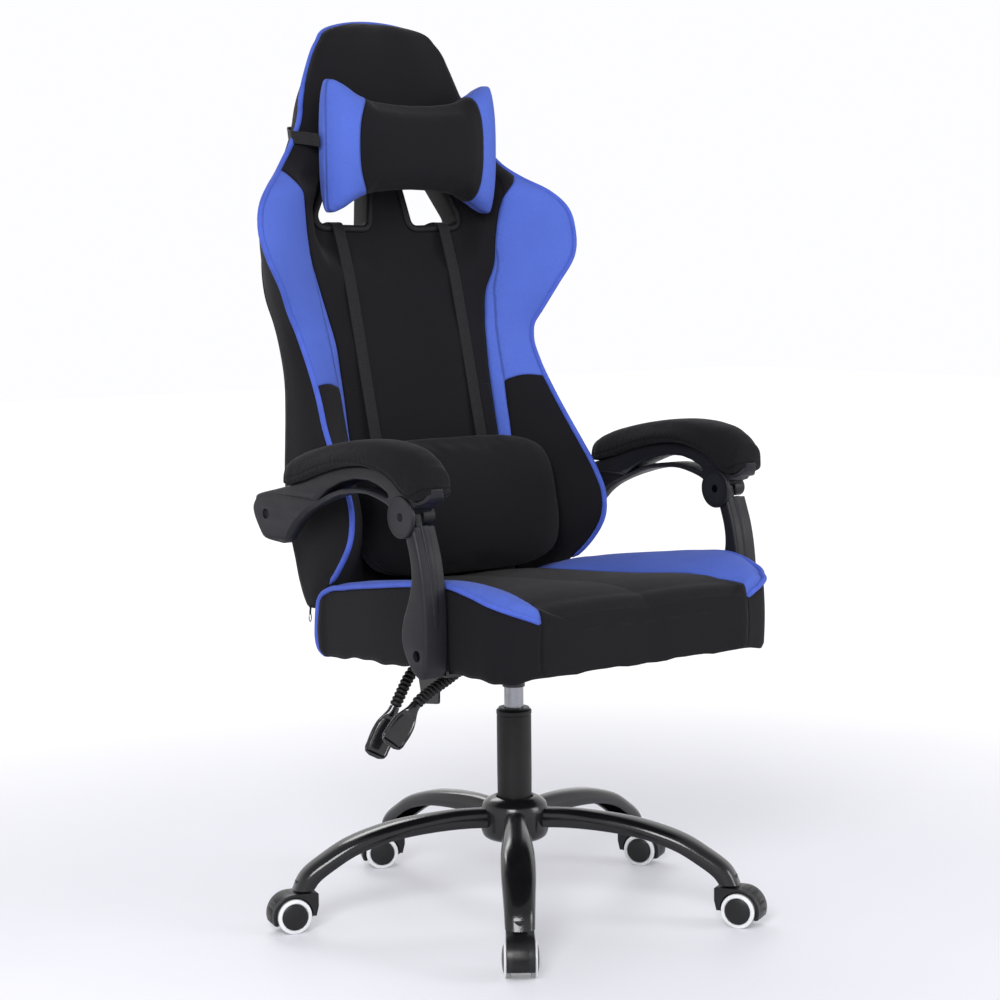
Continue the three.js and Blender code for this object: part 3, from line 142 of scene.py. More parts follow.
def filleted(corners: Points, radius: float, steps: int = 4, closed: bool = False) -> Array:
    """An outline with each corner replaced by a parabola that starts and ends radius away along its edges."""
    corner = np.asarray(corners, float)
    before, after = np.roll(corner, 1, axis=0), np.roll(corner, -1, axis=0)

    def towards(other: Array) -> Array:
        """A point along each edge, radius from its corner."""
        edge = other - corner
        length = np.linalg.norm(edge, axis=1, keepdims=True)
        return corner + edge / np.maximum(length, 1e-9) * np.minimum(radius, 0.46 * length)

    start, end = towards(before), towards(after)
    t = np.linspace(0, 1, steps + 1)[None, :, None]
    arcs = (1 - t) ** 2 * start[:, None] + 2 * t * (1 - t) * corner[:, None] + t**2 * end[:, None]
    if closed:
        return arcs.reshape(-1, corner.shape[1])
    middle = arcs[1:-1].reshape(-1, corner.shape[1])
    return np.concatenate([corner[:1], middle, corner[-1:]])


def outline_distance(points: Array, outline: Array) -> Array:
    """Signed distance from points to a closed outline, negative inside.

    It is the distance to the nearest edge, and a count of the edges crossed tells inside from outside.
    """
    a, b = outline, np.roll(outline, -1, axis=0)
    edge = b - a
    offset = points[..., None, :] - a
    along = np.clip((offset * edge).sum(-1) / (edge * edge).sum(-1), 0, 1)
    away = np.linalg.norm(offset - along[..., None] * edge, axis=-1).min(-1)
    x, y = points[..., 0, None], points[..., 1, None]
    rise = np.where(b[:, 1] == a[:, 1], 1e-9, b[:, 1] - a[:, 1])
    crosses = ((a[:, 1] > y) != (b[:, 1] > y)) & (x < (b[:, 0] - a[:, 0]) * (y - a[:, 1]) / rise + a[:, 0])
    return np.where(crosses.sum(-1) % 2 == 1, -away, away)


# ---------------------------------------------------------------- meshes


def new_mesh(name: str, verts: Array, faces: Array, sharp: float = 180.0) -> bpy.types.Object:
    """Makes a mesh object from vertices in metres and quads, welded, facing out and smooth.

    Args:
        name: Name of the object and its mesh.
        verts: Vertex places, one row each.
        faces: Four vertex numbers a row.
        sharp: Edges that turn by more than this many degrees stay sharp.

    Returns:
        The new object, in the scene and at the origin.
    """
    mesh = bpy.data.meshes.new(name)
    mesh.vertices.add(len(verts))
    mesh.vertices.foreach_set("co", np.asarray(verts, np.float32).ravel())
    mesh.loops.add(faces.size)
    mesh.loops.foreach_set("vertex_index", faces.astype(np.int32).ravel())
    mesh.polygons.add(len(faces))
    mesh.polygons.foreach_set("loop_start", np.arange(0, faces.size, 4, dtype=np.int32))
    mesh.update(calc_edges=True)
    obj = bpy.data.objects.new(name, mesh)
    bpy.context.scene.collection.objects.link(obj)
    obj["sharp"] = sharp
    return obj


def tidy(obj: bpy.types.Object, solid: bool = True, weld: float = 1e-6) -> bpy.types.Object:
    """Welds doubles, drops faces with no area, closes open ends, turns faces outwards and shades smooth."""
    mesh = bmesh.new()
    mesh.from_mesh(obj.data)
    bmesh.ops.remove_doubles(mesh, verts=mesh.verts, dist=weld)
    bmesh.ops.dissolve_degenerate(mesh, edges=mesh.edges, dist=weld / 10)
    if solid:
        rims = [edge for edge in mesh.edges if edge.is_boundary]
        bmesh.ops.holes_fill(mesh, edges=rims, sides=0)
        bmesh.ops.triangulate(mesh, faces=[face for face in mesh.faces if len(face.verts) > 4])
    bmesh.ops.recalc_face_normals(mesh, faces=mesh.faces)
    mesh.to_mesh(obj.data)
    mesh.free()
    obj.data.shade_smooth()
    if obj.get("sharp", 180.0) < 180:
        obj.data.set_sharp_from_angle(angle=math.radians(obj["sharp"]))
    return obj


def grid(
    name: str,
    points: Array,
    wrap_rows: bool = False,
    wrap_cols: bool = False,
    sharp: float = 180.0,
    values: Optional[dict[str, Array]] = None,
    solid: bool = True,
) -> bpy.types.Object:
    """A surface over points[row, column]: each face joins four neighbours, and wrapped sides meet.

    Args:
        name: Name of the piece.
        points: Millimetres from the gas lift's foot.
        wrap_rows: The last row joins the first.
        wrap_cols: The last column joins the first.
        sharp: Edges sharper than this many degrees stay sharp.
        values: Named numbers, one for each point, kept as attributes for the finish.
        solid: Open ends are closed over.

    Returns:
        The finished object, with a UV map measured in metres along its rows and columns.
    """
    rows, cols = points.shape[:2]
    row = np.arange(rows if wrap_rows else rows - 1)[:, None]
    col = np.arange(cols if wrap_cols else cols - 1)[None, :]
    down, right = (row + 1) % rows, (col + 1) % cols
    faces = np.stack(
        np.broadcast_arrays(row * cols + col, row * cols + right, down * cols + right, down * cols + col), -1
    )
    obj = new_mesh(name, chair(points.reshape(-1, 3)), faces.reshape(-1, 4), sharp)
    for key, value in (values or {}).items():
        attribute = obj.data.attributes.new(key, "FLOAT", "POINT")
        attribute.data.foreach_set("value", np.asarray(value, np.float32).ravel())
    across = np.linalg.norm(np.roll(points, -1, axis=1) - points, axis=-1)
    along = np.linalg.norm(np.roll(points, -1, axis=0) - points, axis=-1).mean(axis=1)
    u = np.concatenate([np.zeros((rows, 1)), np.cumsum(across, axis=1)], axis=1) * MM
    v = np.concatenate([[0], np.cumsum(along)]) * MM
    corner_u = np.stack([u[row, col], u[row, col + 1], u[down, col + 1], u[down, col]], -1)
    corner_v = np.stack(np.broadcast_arrays(v[row], v[row], v[row + 1], v[row + 1]), -1)
    corner_v = np.broadcast_to(corner_v, corner_u.shape)
    layer = obj.data.uv_layers.new(name="cloth")
    layer.data.foreach_set("uv", np.stack([corner_u, corner_v], -1).astype(np.float32).ravel())
    return tidy(obj, solid)


def closed_ends(rings: Array, dome: float = 0.0) -> Array:
    """Adds rows to rings[row, column, xyz] so that both ends close on their middles, bulged by dome."""
    first, last = rings[0], rings[-1]
    out_first = dome * unit(first.mean(0) - rings[1].mean(0))
    out_last = dome * unit(last.mean(0) - rings[-2].mean(0))
    shares = np.array([0.0, 0.35, 0.65, 0.88])[:, None, None]
    rise = np.sqrt(1 - shares**2)
    head = first.mean(0) + shares * (first - first.mean(0)) + rise * out_first
    tail = last.mean(0) + shares[::-1] * (last - last.mean(0)) + rise[::-1] * out_last
    return np.concatenate([head, rings, tail])


def unit(vector: Array) -> Array:
    """A vector's direction."""
    return vector / np.maximum(np.linalg.norm(vector, axis=-1, keepdims=True), 1e-9)


def frames(path: Array, up: Array) -> tuple[Array, Array]:
    """Directions sideways from a path and up from it, with up kept as near as can be."""
    along = unit(np.gradient(path, axis=0))
    side = unit(np.cross(along, np.broadcast_to(up, path.shape)))
    return side, np.cross(side, along)


def swept(path: Array, section: Array, up: Points = (0, 0, 1)) -> Array:
    """Rings of a section carried along a path: side times its first number plus up times its second.

    Args:
        path: Points of the middle line.
        section: Outline points, the same all along or one outline for each path point.
        up: Direction the section's second number points, as near as the path allows.

    Returns:
        points[path point, outline point].
    """
    side, rise = frames(path, np.asarray(up, float))
    section = np.broadcast_to(section, (len(path),) + section.shape[-2:])
    return path[:, None] + section[..., :1] * side[:, None] + section[..., 1:] * rise[:, None]


def circle(count: int, radius: float = 1.0, power: float = 1.0, tall: float = 1.0) -> Array:
    """Points round a superellipse: cosine and sine raised to a power, 1 for a circle and less for a box."""
    turn = 2 * np.pi * (np.arange(count) + 0.5) / count
    c, s = np.cos(turn), np.sin(turn)
    return radius * np.stack([np.sign(c) * np.abs(c) ** power, tall * np.sign(s) * np.abs(s) ** power], -1)


def tube(
    name: str, path: Array, radius: float, sides: int = 12, up: Points = (0, 0, 1), taper: float = 0.0
) -> bpy.types.Object:
    """A round bar along a path with domed ends; over the taper's length from each end it thins to a third."""
    steps = np.concatenate([[0], np.cumsum(np.linalg.norm(np.diff(path, axis=0), axis=1))])
    share = ease(np.minimum(steps, steps[-1] - steps), 0, taper) if taper else np.ones(len(path))
    section = circle(sides, radius)[None] * (0.33 + 0.67 * share)[:, None, None]
    return grid(name, closed_ends(swept(path, section, up), radius * 0.2), wrap_cols=True)


def lathe(profile: Points, fillet: float = 0.0, count: int = 64, closed: bool = True) -> Array:
    """Points of a profile of (radius, height) turned about the vertical axis.

    Args:
        profile: Radius and height of each corner.
        fillet: How far each corner is rounded off.
        count: Points round the axis.
        closed: The profile is a loop, and its first corner is rounded too.

    Returns:
        points[profile point, turn].
    """
    outline = filleted(profile, fillet, 4, closed) if fillet else np.asarray(profile, float)
    turn = 2 * np.pi * np.arange(count) / count
    radius, height = outline[:, 0, None], outline[:, 1, None]
    return np.stack([radius * np.cos(turn), radius * np.sin(turn), height + 0 * turn], -1)


def turned(points: Array, angle: float, axis: int = 2) -> Array:
    """Points turned by an angle in radians about an axis through the origin: 0 for X, 1 for Y, 2 for Z."""
    a, b = [(1, 2), (2, 0), (0, 1)][axis]
    out = points.copy()
    out[..., a] = points[..., a] * math.cos(angle) - points[..., b] * math.sin(angle)
    out[..., b] = points[..., a] * math.sin(angle) + points[..., b] * math.cos(angle)
    return out


def mirrored(points: Array) -> Array:
    """Points on the other side of the chair's middle plane."""
    return points * np.array([-1.0, 1.0, 1.0])


def plate(
    name: str, outlines: Sequence[Array], low: float, high: float, bevel: float, sharp: float = 35.0
) -> bpy.types.Object:
    """A flat shape in (y, z) with holes, made thick along X from low to high, its edges rounded by bevel.

    Args:
        name: Name of the piece.
        outlines: The outer outline first, then its holes.
        low: X of one face.
        high: X of the other face.
        bevel: Radius of the rounded edges.
        sharp: Edges sharper than this many degrees stay sharp.

    Returns:
        The finished object.
    """
    curve = bpy.data.curves.new(name, "CURVE")
    curve.dimensions = "2D"
    curve.fill_mode = "BOTH"
    curve.extrude = ((high - low) / 2 - bevel) * MM
    curve.bevel_depth = bevel * MM
    curve.bevel_resolution = 3
    curve.offset = -bevel * MM
    for outline in outlines:
        spline = curve.splines.new("POLY")
        spline.points.add(len(outline) - 1)
        flat = np.concatenate([outline * MM, np.zeros((len(outline), 1)), np.ones((len(outline), 1))], 1)
        spline.points.foreach_set("co", flat.ravel())
        spline.use_cyclic_u = True
    holder = bpy.data.objects.new(name, curve)
    bpy.context.scene.collection.objects.link(holder)
    bpy.context.view_layer.update()
    mesh = bpy.data.meshes.new_from_object(holder.evaluated_get(bpy.context.evaluated_depsgraph_get()))
    bpy.data.objects.remove(holder)
    mesh.name = name
    co = read_points(mesh)
    placed = np.stack([co[:, 2] + (low + high) / 2, co[:, 0], co[:, 1]], -1)
    write_points(mesh, placed)
    obj = bpy.data.objects.new(name, mesh)
    bpy.context.scene.collection.objects.link(obj)
    obj["sharp"] = sharp
    return obj


def read_points(mesh: bpy.types.Mesh) -> Array:
    """A mesh's points in millimetres, with no change of place."""
    co = np.empty(len(mesh.vertices) * 3)
    mesh.vertices.foreach_get("co", co)
    return co.reshape(-1, 3) / MM


def write_points(mesh: bpy.types.Mesh, points: Array) -> None:
    """Sets a mesh's points from millimetres, with no change of place."""
    mesh.vertices.foreach_set("co", (points * MM).astype(np.float32).ravel())
    mesh.update()


def settle(obj: bpy.types.Object) -> bpy.types.Object:
    """Moves a piece made about the gas lift's foot, in millimetres, to its place in the row frame."""
    write_points(obj.data, chair(read_points(obj.data)) / MM)
    return tidy(obj)


def carve(obj: bpy.types.Object, tools: Sequence[bpy.types.Object]) -> bpy.types.Object:
    """Cuts closed tool pieces out of a piece and removes them."""
    for tool in tools:
        cut = obj.modifiers.new("cut", "BOOLEAN")
        cut.operation = "DIFFERENCE"
        cut.solver = "EXACT"
        cut.object = tool
    bpy.context.view_layer.update()
    made = bpy.data.meshes.new_from_object(obj.evaluated_get(bpy.context.evaluated_depsgraph_get()))
    obj.modifiers.clear()
    obj.data = made
    for tool in tools:
        bpy.data.objects.remove(tool)
    return tidy(obj)


def inflate(obj: bpy.types.Object, cap: float, voxel: float = 6.0, pressure: float = 4.0) -> bpy.types.Object:
    """Blows a padded piece up as cloth and gives it the swelling and the creases that come of it.

    A remeshed copy is simulated. Each point of the piece then moves by the mean move of the copy's points
    near it, weighted by a bell of its distance, held back at sewn lines and never by more than cap.

    Args:
        obj: The piece.
        cap: Furthest that a point may move, in millimetres.
        voxel: Size of the copy's faces in millimetres.
        pressure: Pressure inside the cloth.

    Returns:
        The same piece.
    """
    copy = bpy.data.objects.new("blown", obj.data.copy())
    bpy.context.scene.collection.objects.link(copy)
    remesh = copy.modifiers.new("remesh", "REMESH")
    remesh.mode = "VOXEL"
    remesh.voxel_size = voxel * MM
    bpy.context.view_layer.update()
    copy.data = bpy.data.meshes.new_from_object(copy.evaluated_get(bpy.context.evaluated_depsgraph_get()))
    copy.modifiers.clear()
    rest = read_points(copy.data)
    cloth = copy.modifiers.new("cloth", "CLOTH")
    cloth.settings.quality = 5
    cloth.settings.use_pressure = True
    cloth.settings.uniform_pressure_force = pressure
    cloth.settings.effector_weights.gravity = 0.0
    cloth.settings.tension_stiffness = 40
    cloth.settings.compression_stiffness = 6
    cloth.settings.shrink_min = -0.035
    cloth.point_cache.frame_start = 1
    cloth.point_cache.frame_end = 20
    scene = bpy.context.scene
    for number in range(1, 21):
        scene.frame_set(number)
    blown = bpy.data.meshes.new_from_object(copy.evaluated_get(bpy.context.evaluated_depsgraph_get()))
    move = read_points(blown) - rest
    scene.frame_set(1)
    bpy.data.objects.remove(copy)
    size = np.linalg.norm(move, axis=1, keepdims=True)
    move *= np.minimum(1, cap / np.maximum(size, 1e-6))
    points = read_points(obj.data)
    pull = np.empty_like(points)
    for start in range(0, len(points), 1500):
        part = points[start : start + 1500]
        away = ((part[:, None] - rest[None]) ** 2).sum(-1)
        near = np.argpartition(away, 12, axis=1)[:, :12]
        weight = np.exp(-np.take_along_axis(away, near, 1) / (2 * (0.8 * voxel) ** 2)) + 1e-9
        pull[start : start + 1500] = (weight[..., None] * move[near]).sum(1) / weight.sum(1)[:, None]
    held = np.full(len(points), 60.0)
    for key in ("blue", "crease"):
        if key in obj.data.attributes:
            value = np.empty(len(points))
            obj.data.attributes[key].data.foreach_get("value", value)
            held = np.minimum(held, np.abs(value) / MM)
    write_points(obj.data, points + pull * (0.15 + 0.85 * ease(held, 2.0, 22.0))[:, None])
    return obj


# ---------------------------------------------------------------- finishes


def rgb(red: int, green: int, blue: int) -> tuple[float, float, float, float]:
    """A screen colour of 0 to 255 as the linear colour that a shader wants."""
    share = np.array([red, green, blue]) / 255
    linear = np.where(share <= 0.04045, share / 12.92, ((share + 0.055) / 1.055) ** 2.4)
    return (*map(float, linear), 1.0)


class Nodes:
    """Builds one material, node by node, round its Principled shader."""

    def __init__(self, name: str) -> None:
        """Makes the material with its own node tree."""
        self.material = bpy.data.materials.new(name)
        self.material.use_nodes = True
        self.tree = self.material.node_tree
        self.shader = self.tree.nodes["Principled BSDF"]

    def add(self, kind: str, inputs: Optional[dict] = None, **settings) -> bpy.types.Node:
        """Adds a node, sets its own settings, and fills its inputs with numbers, colours or sockets."""
        node = self.tree.nodes.new("ShaderNode" + kind)
        for key, value in settings.items():
            setattr(node, key, value)
        for key, value in (inputs or {}).items():
            self.put(node.inputs[key], value)
        return node

    def put(self, socket: bpy.types.NodeSocket, value: Input) -> None:
        """Links a socket to another node's output, or sets it."""
        if isinstance(value, bpy.types.NodeSocket):
            self.tree.links.new(value, socket)
        else:
            socket.default_value = value

    def math(self, operation: str, *values: Input, clamp: bool = False) -> bpy.types.NodeSocket:
        """One sum, with sockets or numbers as its values."""
        return self.add("Math", dict(enumerate(values)), operation=operation, use_clamp=clamp).outputs[0]

    def noise(
        self, scale: float, detail: float = 2.0, rough: float = 0.5, where: Socket = None
    ) -> bpy.types.NodeSocket:
        """Noise from 0 to 1 over the piece's own place, or over another vector."""
        vector = where or self.add("TexCoord").outputs["Object"]
        inputs = {"Vector": vector, "Scale": scale, "Detail": detail, "Roughness": rough}
        return self.add("TexNoise", inputs).outputs["Fac"]

    def ramp(
        self, value: Input, low: float, high: float, out_low: float, out_high: float
    ) -> bpy.types.NodeSocket:
        """A number carried smoothly from one range to another and held at its ends."""
        inputs = {"Value": value, 1: low, 2: high, 3: out_low, 4: out_high}
        return self.add("MapRange", inputs, interpolation_type="SMOOTHSTEP").outputs["Result"]

    def mix(self, share: Input, first: Input, second: Input) -> bpy.types.NodeSocket:
        """A colour between two colours."""
        return self.add("Mix", {0: share, 6: first, 7: second}, data_type="RGBA").outputs[2]

    def shade(self, colour: Input, factor: Input) -> bpy.types.NodeSocket:
        """A colour made lighter or darker by a factor."""
        grey = self.add("CombineColor", {0: factor, 1: factor, 2: factor}).outputs[0]
        inputs = {0: 1.0, 6: colour, 7: grey}
        return self.add("Mix", inputs, data_type="RGBA", blend_type="MULTIPLY").outputs[2]

    def bump(
        self, height: Input, distance: float, strength: float = 1.0, after: Socket = None
    ) -> bpy.types.NodeSocket:
        """A surface normal tilted by a height of 0 to 1 times distance in metres."""
        inputs = {"Height": height, "Distance": distance, "Strength": strength}
        if after is not None:
            inputs["Normal"] = after
        return self.add("Bump", inputs).outputs[0]

    def finish(self, **inputs) -> bpy.types.Material:
        """Sets the shader's inputs, with spaces in their names written as underscores."""
        for key, value in inputs.items():
            self.put(self.shader.inputs[key.replace("_", " ")], value)
        return self.material


@dataclass(frozen=True)
class Moulding:
    """A moulded, painted or metal surface.

    Attributes:
        colour: Base colour.
        roughness: Middle roughness, which a broad noise varies.
        grain: Depth of its surface texture in metres.
        pitch: Size of a grain in metres.
        coat: Share of a clear gloss over it.
        metallic: 1 for bare metal.
        worn: How much lighter its edges are.
        specular: Strength of its reflection.
    """

    colour: tuple[float, float, float, float]
    roughness: float
    grain: float = 0.0
    pitch: float = 0.001
    coat: float = 0.0
    metallic: float = 0.0
    worn: float = 0.25
    specular: float = 0.35


MOULDINGS = {
    "black_paint": Moulding(rgb(15, 15, 18), 0.2, 0.00003, 0.0022, coat=0.12, worn=0.35, specular=0.4),
    "column_paint": Moulding(rgb(9, 9, 10), 0.5, 0.00002, 0.0012, worn=0.3),
    "chrome": Moulding(rgb(150, 151, 158), 0.26, 0.000004, 0.003, metallic=1.0, worn=0.0),
    "zinc": Moulding(rgb(20, 20, 22), 0.42, 0.00001, 0.0012, metallic=1.0, worn=0.15),
    "castor_plastic": Moulding(rgb(20, 20, 23), 0.36, 0.000015, 0.0014, worn=0.3),
    "white_plastic": Moulding(rgb(222, 223, 226), 0.38, 0.00001, 0.0014, worn=0.0),
    "tread": Moulding(rgb(150, 151, 150), 0.55, 0.00002, 0.001, worn=0.0),
    "arm_plastic": Moulding(rgb(23, 23, 28), 0.44, 0.00006, 0.0009, worn=0.5, specular=0.22),
    "slot_plastic": Moulding(rgb(15, 15, 17), 0.5, 0.0001, 0.0011, worn=0.35, specular=0.15),
    "gloss_plastic": Moulding(rgb(16, 16, 19), 0.14, 0.000006, 0.003, coat=0.5, worn=0.3),
    "rubber": Moulding(rgb(12, 12, 13), 0.5, 0.00003, 0.0008, worn=0.35),
}


def moulded(name: str, finish: Moulding) -> bpy.types.Material:
    """Plastic, paint or metal: fine grain, uneven gloss, painted shade in its hollows and paler worn edges.
    """
    n = Nodes(name)
    grain = n.noise(1 / finish.pitch, 3.0)
    broad = n.noise(14.0, 3.0, 0.6)
    gloss = n.ramp(broad, 0.3, 0.7, finish.roughness - 0.05, finish.roughness + 0.07)
    # Pointiness sets this: painted shade, down to 0.9, in concave hollows, and paler worn convex edges.
    edge = n.ramp(n.add("NewGeometry").outputs["Pointiness"], 0.49, 0.56, 0.9, 1.0 + finish.worn)
    patches = n.ramp(n.noise(55.0, 4.0), 0.25, 0.75, 0.93, 1.06)
    colour = n.shade(n.shade(finish.colour, edge), patches)
    normal = n.bump(grain, finish.grain * 4)
    return n.finish(
        Base_Color=colour,
        Roughness=gloss,
        Metallic=finish.metallic,
        Coat_Weight=finish.coat,
        Specular_IOR_Level=finish.specular,
        Normal=normal,
    )


@dataclass(frozen=True)
class Cloth:
    """A woven cover.

    Attributes:
        colour: Thread colour.
        panel: Thread colour of the contrasting panels, where the piece has them.
        pitch: Distance between threads in metres.
        relief: Height of the weave in metres.
        sheen: Share of soft light along grazing edges.
    """

    colour: tuple[float, float, float, float]
    panel: tuple[float, float, float, float]
    pitch: float = 0.0011
    relief: float = 0.00022
    sheen: float = 0.04


BLACK_CLOTH = rgb(17, 16, 20)
BLUE_CLOTH = rgb(72, 94, 178)
COVER = Cloth(BLACK_CLOTH, BLUE_CLOTH)


def woven(name: str, cloth: Cloth) -> bpy.types.Material:
    """A plain weave of two thread colours, with fluff, creased seams and painted shade along them."""
    n = Nodes(name)
    uv = n.add("SeparateXYZ", {0: n.add("UVMap", uv_map="cloth").outputs[0]})
    across = n.math("DIVIDE", uv.outputs[0], cloth.pitch)
    along = n.math("DIVIDE", uv.outputs[1], cloth.pitch)
    over = n.add("TexChecker", {0: n.add("CombineXYZ", {0: across, 1: along}).outputs[0], "Scale": 1.0})
    warp = n.math("ABSOLUTE", n.math("SINE", n.math("MULTIPLY", along, math.pi)))
    weft = n.math("ABSOLUTE", n.math("SINE", n.math("MULTIPLY", across, math.pi)))
    thread = n.add("Mix", {0: over.outputs["Fac"], 2: warp, 3: weft}).outputs[0]
    fluff = n.noise(900.0, 4.0, 0.65)
    height = n.math("ADD", n.math("MULTIPLY", thread, 0.6), n.math("MULTIPLY", fluff, 0.4))
    panel = n.add("Attribute", attribute_name="blue").outputs["Fac"]
    crease = n.add("Attribute", attribute_name="crease").outputs["Fac"]
    inside = n.ramp(panel, 0.0001, 0.0008, 0.0, 1.0)
    nearest = n.math("MINIMUM", n.math("ABSOLUTE", panel), n.math("ABSOLUTE", crease))
    sewn = n.ramp(nearest, 0.0, 0.0035, 0.0, 1.0)
    pucker = n.math("MULTIPLY", n.noise(150.0, 1.0), n.ramp(nearest, 0.002, 0.022, 1.0, 0.0))
    base = n.mix(inside, cloth.colour, cloth.panel)
    fine = n.ramp(fluff, 0.25, 0.75, 0.86, 1.14)
    tone = n.math("MULTIPLY", fine, n.ramp(n.noise(9.0, 3.0), 0.3, 0.7, 0.95, 1.05))
    # Painted shade in the seam grooves: the colour falls to 0.62 within 3 mm of a seam.
    colour = n.shade(base, n.math("MULTIPLY", tone, n.ramp(nearest, 0.0, 0.003, 0.62, 1.0)))
    normal = n.bump(height, cloth.relief, 0.7)
    normal = n.bump(pucker, 0.0022, 0.55, normal)
    normal = n.bump(sewn, 0.0014, 0.9, normal)
    return n.finish(
        Base_Color=colour,
        Roughness=n.ramp(fluff, 0.3, 0.7, 0.82, 0.95),
        Normal=normal,
        Specular_IOR_Level=0.14,
        Sheen_Weight=cloth.sheen,
        Sheen_Roughness=0.45,
    )


def corded(name: str, colour: tuple) -> bpy.types.Material:
    """Piping cloth drawn tight over its cord: a slanting weave and a slightly uneven tone."""
    n = Nodes(name)
    uv = n.add("SeparateXYZ", {0: n.add("UVMap", uv_map="cloth").outputs[0]})
    across, along = (n.math("MULTIPLY", uv.outputs[axis], 4200.0) for axis in (0, 1))
    slant = n.math("ADD", across, along)
    thread = n.math("ABSOLUTE", n.math("SINE", slant))
    tone = n.ramp(n.noise(60.0, 3.0), 0.3, 0.7, 0.92, 1.07)
    return n.finish(
        Base_Color=n.shade(colour, tone),
        Roughness=n.ramp(thread, 0.0, 1.0, 0.85, 0.7),
        Normal=n.bump(thread, 0.0002, 0.6),
        Specular_IOR_Level=0.2,
        Sheen_Weight=0.04,
    )


def webbed(name: str, colour: tuple) -> bpy.types.Material:
    """Flat webbing: ribs across its width, a bound edge, and a painted highlight on the raised threads with
    painted shade between them.
    """
    n = Nodes(name)
    uv = n.add("SeparateXYZ", {0: n.add("UVMap", uv_map="cloth").outputs[0]})
    rib = n.math("ABSOLUTE", n.math("SINE", n.math("MULTIPLY", uv.outputs[1], math.pi / 0.0017)))
    cross = n.math("ABSOLUTE", n.math("SINE", n.math("MULTIPLY", uv.outputs[0], math.pi / 0.0022)))
    height = n.math("ADD", n.math("MULTIPLY", rib, 0.7), n.math("MULTIPLY", cross, 0.3))
    # Painted highlight and shade: raised threads lighter, up to 1.25, and the hollows between them darker,
    # down to 0.7.
    tone = n.ramp(rib, 0.0, 1.0, 0.7, 1.25)
    return n.finish(
        Base_Color=n.shade(colour, tone),
        Roughness=n.ramp(n.noise(400.0), 0.3, 0.7, 0.6, 0.8),
        Normal=n.bump(height, 0.0004, 0.8),
        Specular_IOR_Level=0.2,
        Sheen_Weight=0.05,
    )


def boarded(name: str) -> bpy.types.Material:
    """Birch plywood: pale wood with plies along its edge and stretched grain over its face."""
    n = Nodes(name)
    place = n.add("TexCoord").outputs["Object"]
    stretched = n.add("Mapping", {"Vector": place, "Scale": (22.0, 2.5, 400.0)}).outputs[0]
    grain = n.add("TexNoise", {"Vector": stretched, "Scale": 3.0, "Detail": 5.0}).outputs["Fac"]
    colour = n.mix(n.ramp(grain, 0.3, 0.7, 0.0, 1.0), rgb(196, 164, 120), rgb(158, 122, 80))
    gloss = n.ramp(grain, 0.3, 0.7, 0.55, 0.7)
    return n.finish(Base_Color=colour, Roughness=gloss, Normal=n.bump(grain, 0.0002))


def make_materials() -> dict[str, bpy.types.Material]:
    """Every finish by the name of the slot that it dresses."""
    made = {name: moulded(name, finish) for name, finish in MOULDINGS.items()}
    made["black_fabric"] = woven("black_fabric", COVER)
    made["piping"] = corded("piping", rgb(66, 88, 180))
    made["black_piping"] = corded("black_piping", rgb(18, 17, 21))
    made["webbing"] = webbed("webbing", rgb(20, 20, 22))
    made["plywood"] = boarded("plywood")
    return made


class Finish(Enum):
    """A finish, with the record's slot that it belongs to."""

    COVER = ("black_fabric", "black_fabric")
    PIPING = ("piping", "black_fabric")
    BLACK_PIPING = ("black_piping", "black_fabric")
    WEBBING = ("webbing", "webbing")
    PAINT = ("black_paint", "black_paint")
    COLUMN = ("column_paint", "column_paint")
    CHROME = ("chrome", "chrome")
    ZINC = ("zinc", "zinc")
    CASTOR = ("castor_plastic", "castor_plastic")
    WHITE = ("white_plastic", "white_plastic")
    TREAD = ("tread", "white_plastic")
    PLASTIC = ("arm_plastic", "arm_plastic")
    SLOT_RIM = ("slot_plastic", "castor_plastic")
    GLOSS = ("gloss_plastic", "gloss_plastic")
    RUBBER = ("rubber", "rubber")


@dataclass
class Dresser:
    """Gives finished pieces their material and body, and hides the CAD nodes that they stand for."""

    materials: dict[str, bpy.types.Material]
    count: int = 0

    def wear(
        self,
        piece: bpy.types.Object,
        finish: Finish,
        body: str,
        replaces: Sequence[str] = (),
        fill: Optional[float] = None,
    ) -> bpy.types.Object:
        """Finishes one piece.

        Args:
            piece: The piece, in place.
            finish: What it is made of.
            body: CAD body that carries it.
            replaces: CAD nodes that it stands for.
            fill: How full it is, for a padded piece; not used.

        Returns:
            The same piece.
        """
        material, slot = finish.value
        piece.data.materials.clear()
        piece.data.materials.append(self.materials[material])
        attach(piece, body)
        if replaces:
            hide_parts(*replaces)
        self.count += 1
        log.info("%s: %d faces on %s", piece.name, len(piece.data.polygons), body)
        return piece

    def repaint_nodes(self) -> None:
        """Puts the finishes on the CAD nodes that stay in view, by the record's slots."""
        for part in frame["record"]["subparts"]:
            node = bpy.data.objects.get(part["node"])
            finish = self.materials.get(part["material_slot"])
            if node and finish:
                node.data.materials.clear()
                node.data.materials.append(finish)


# ---------------------------------------------------------------- camera, floor and light


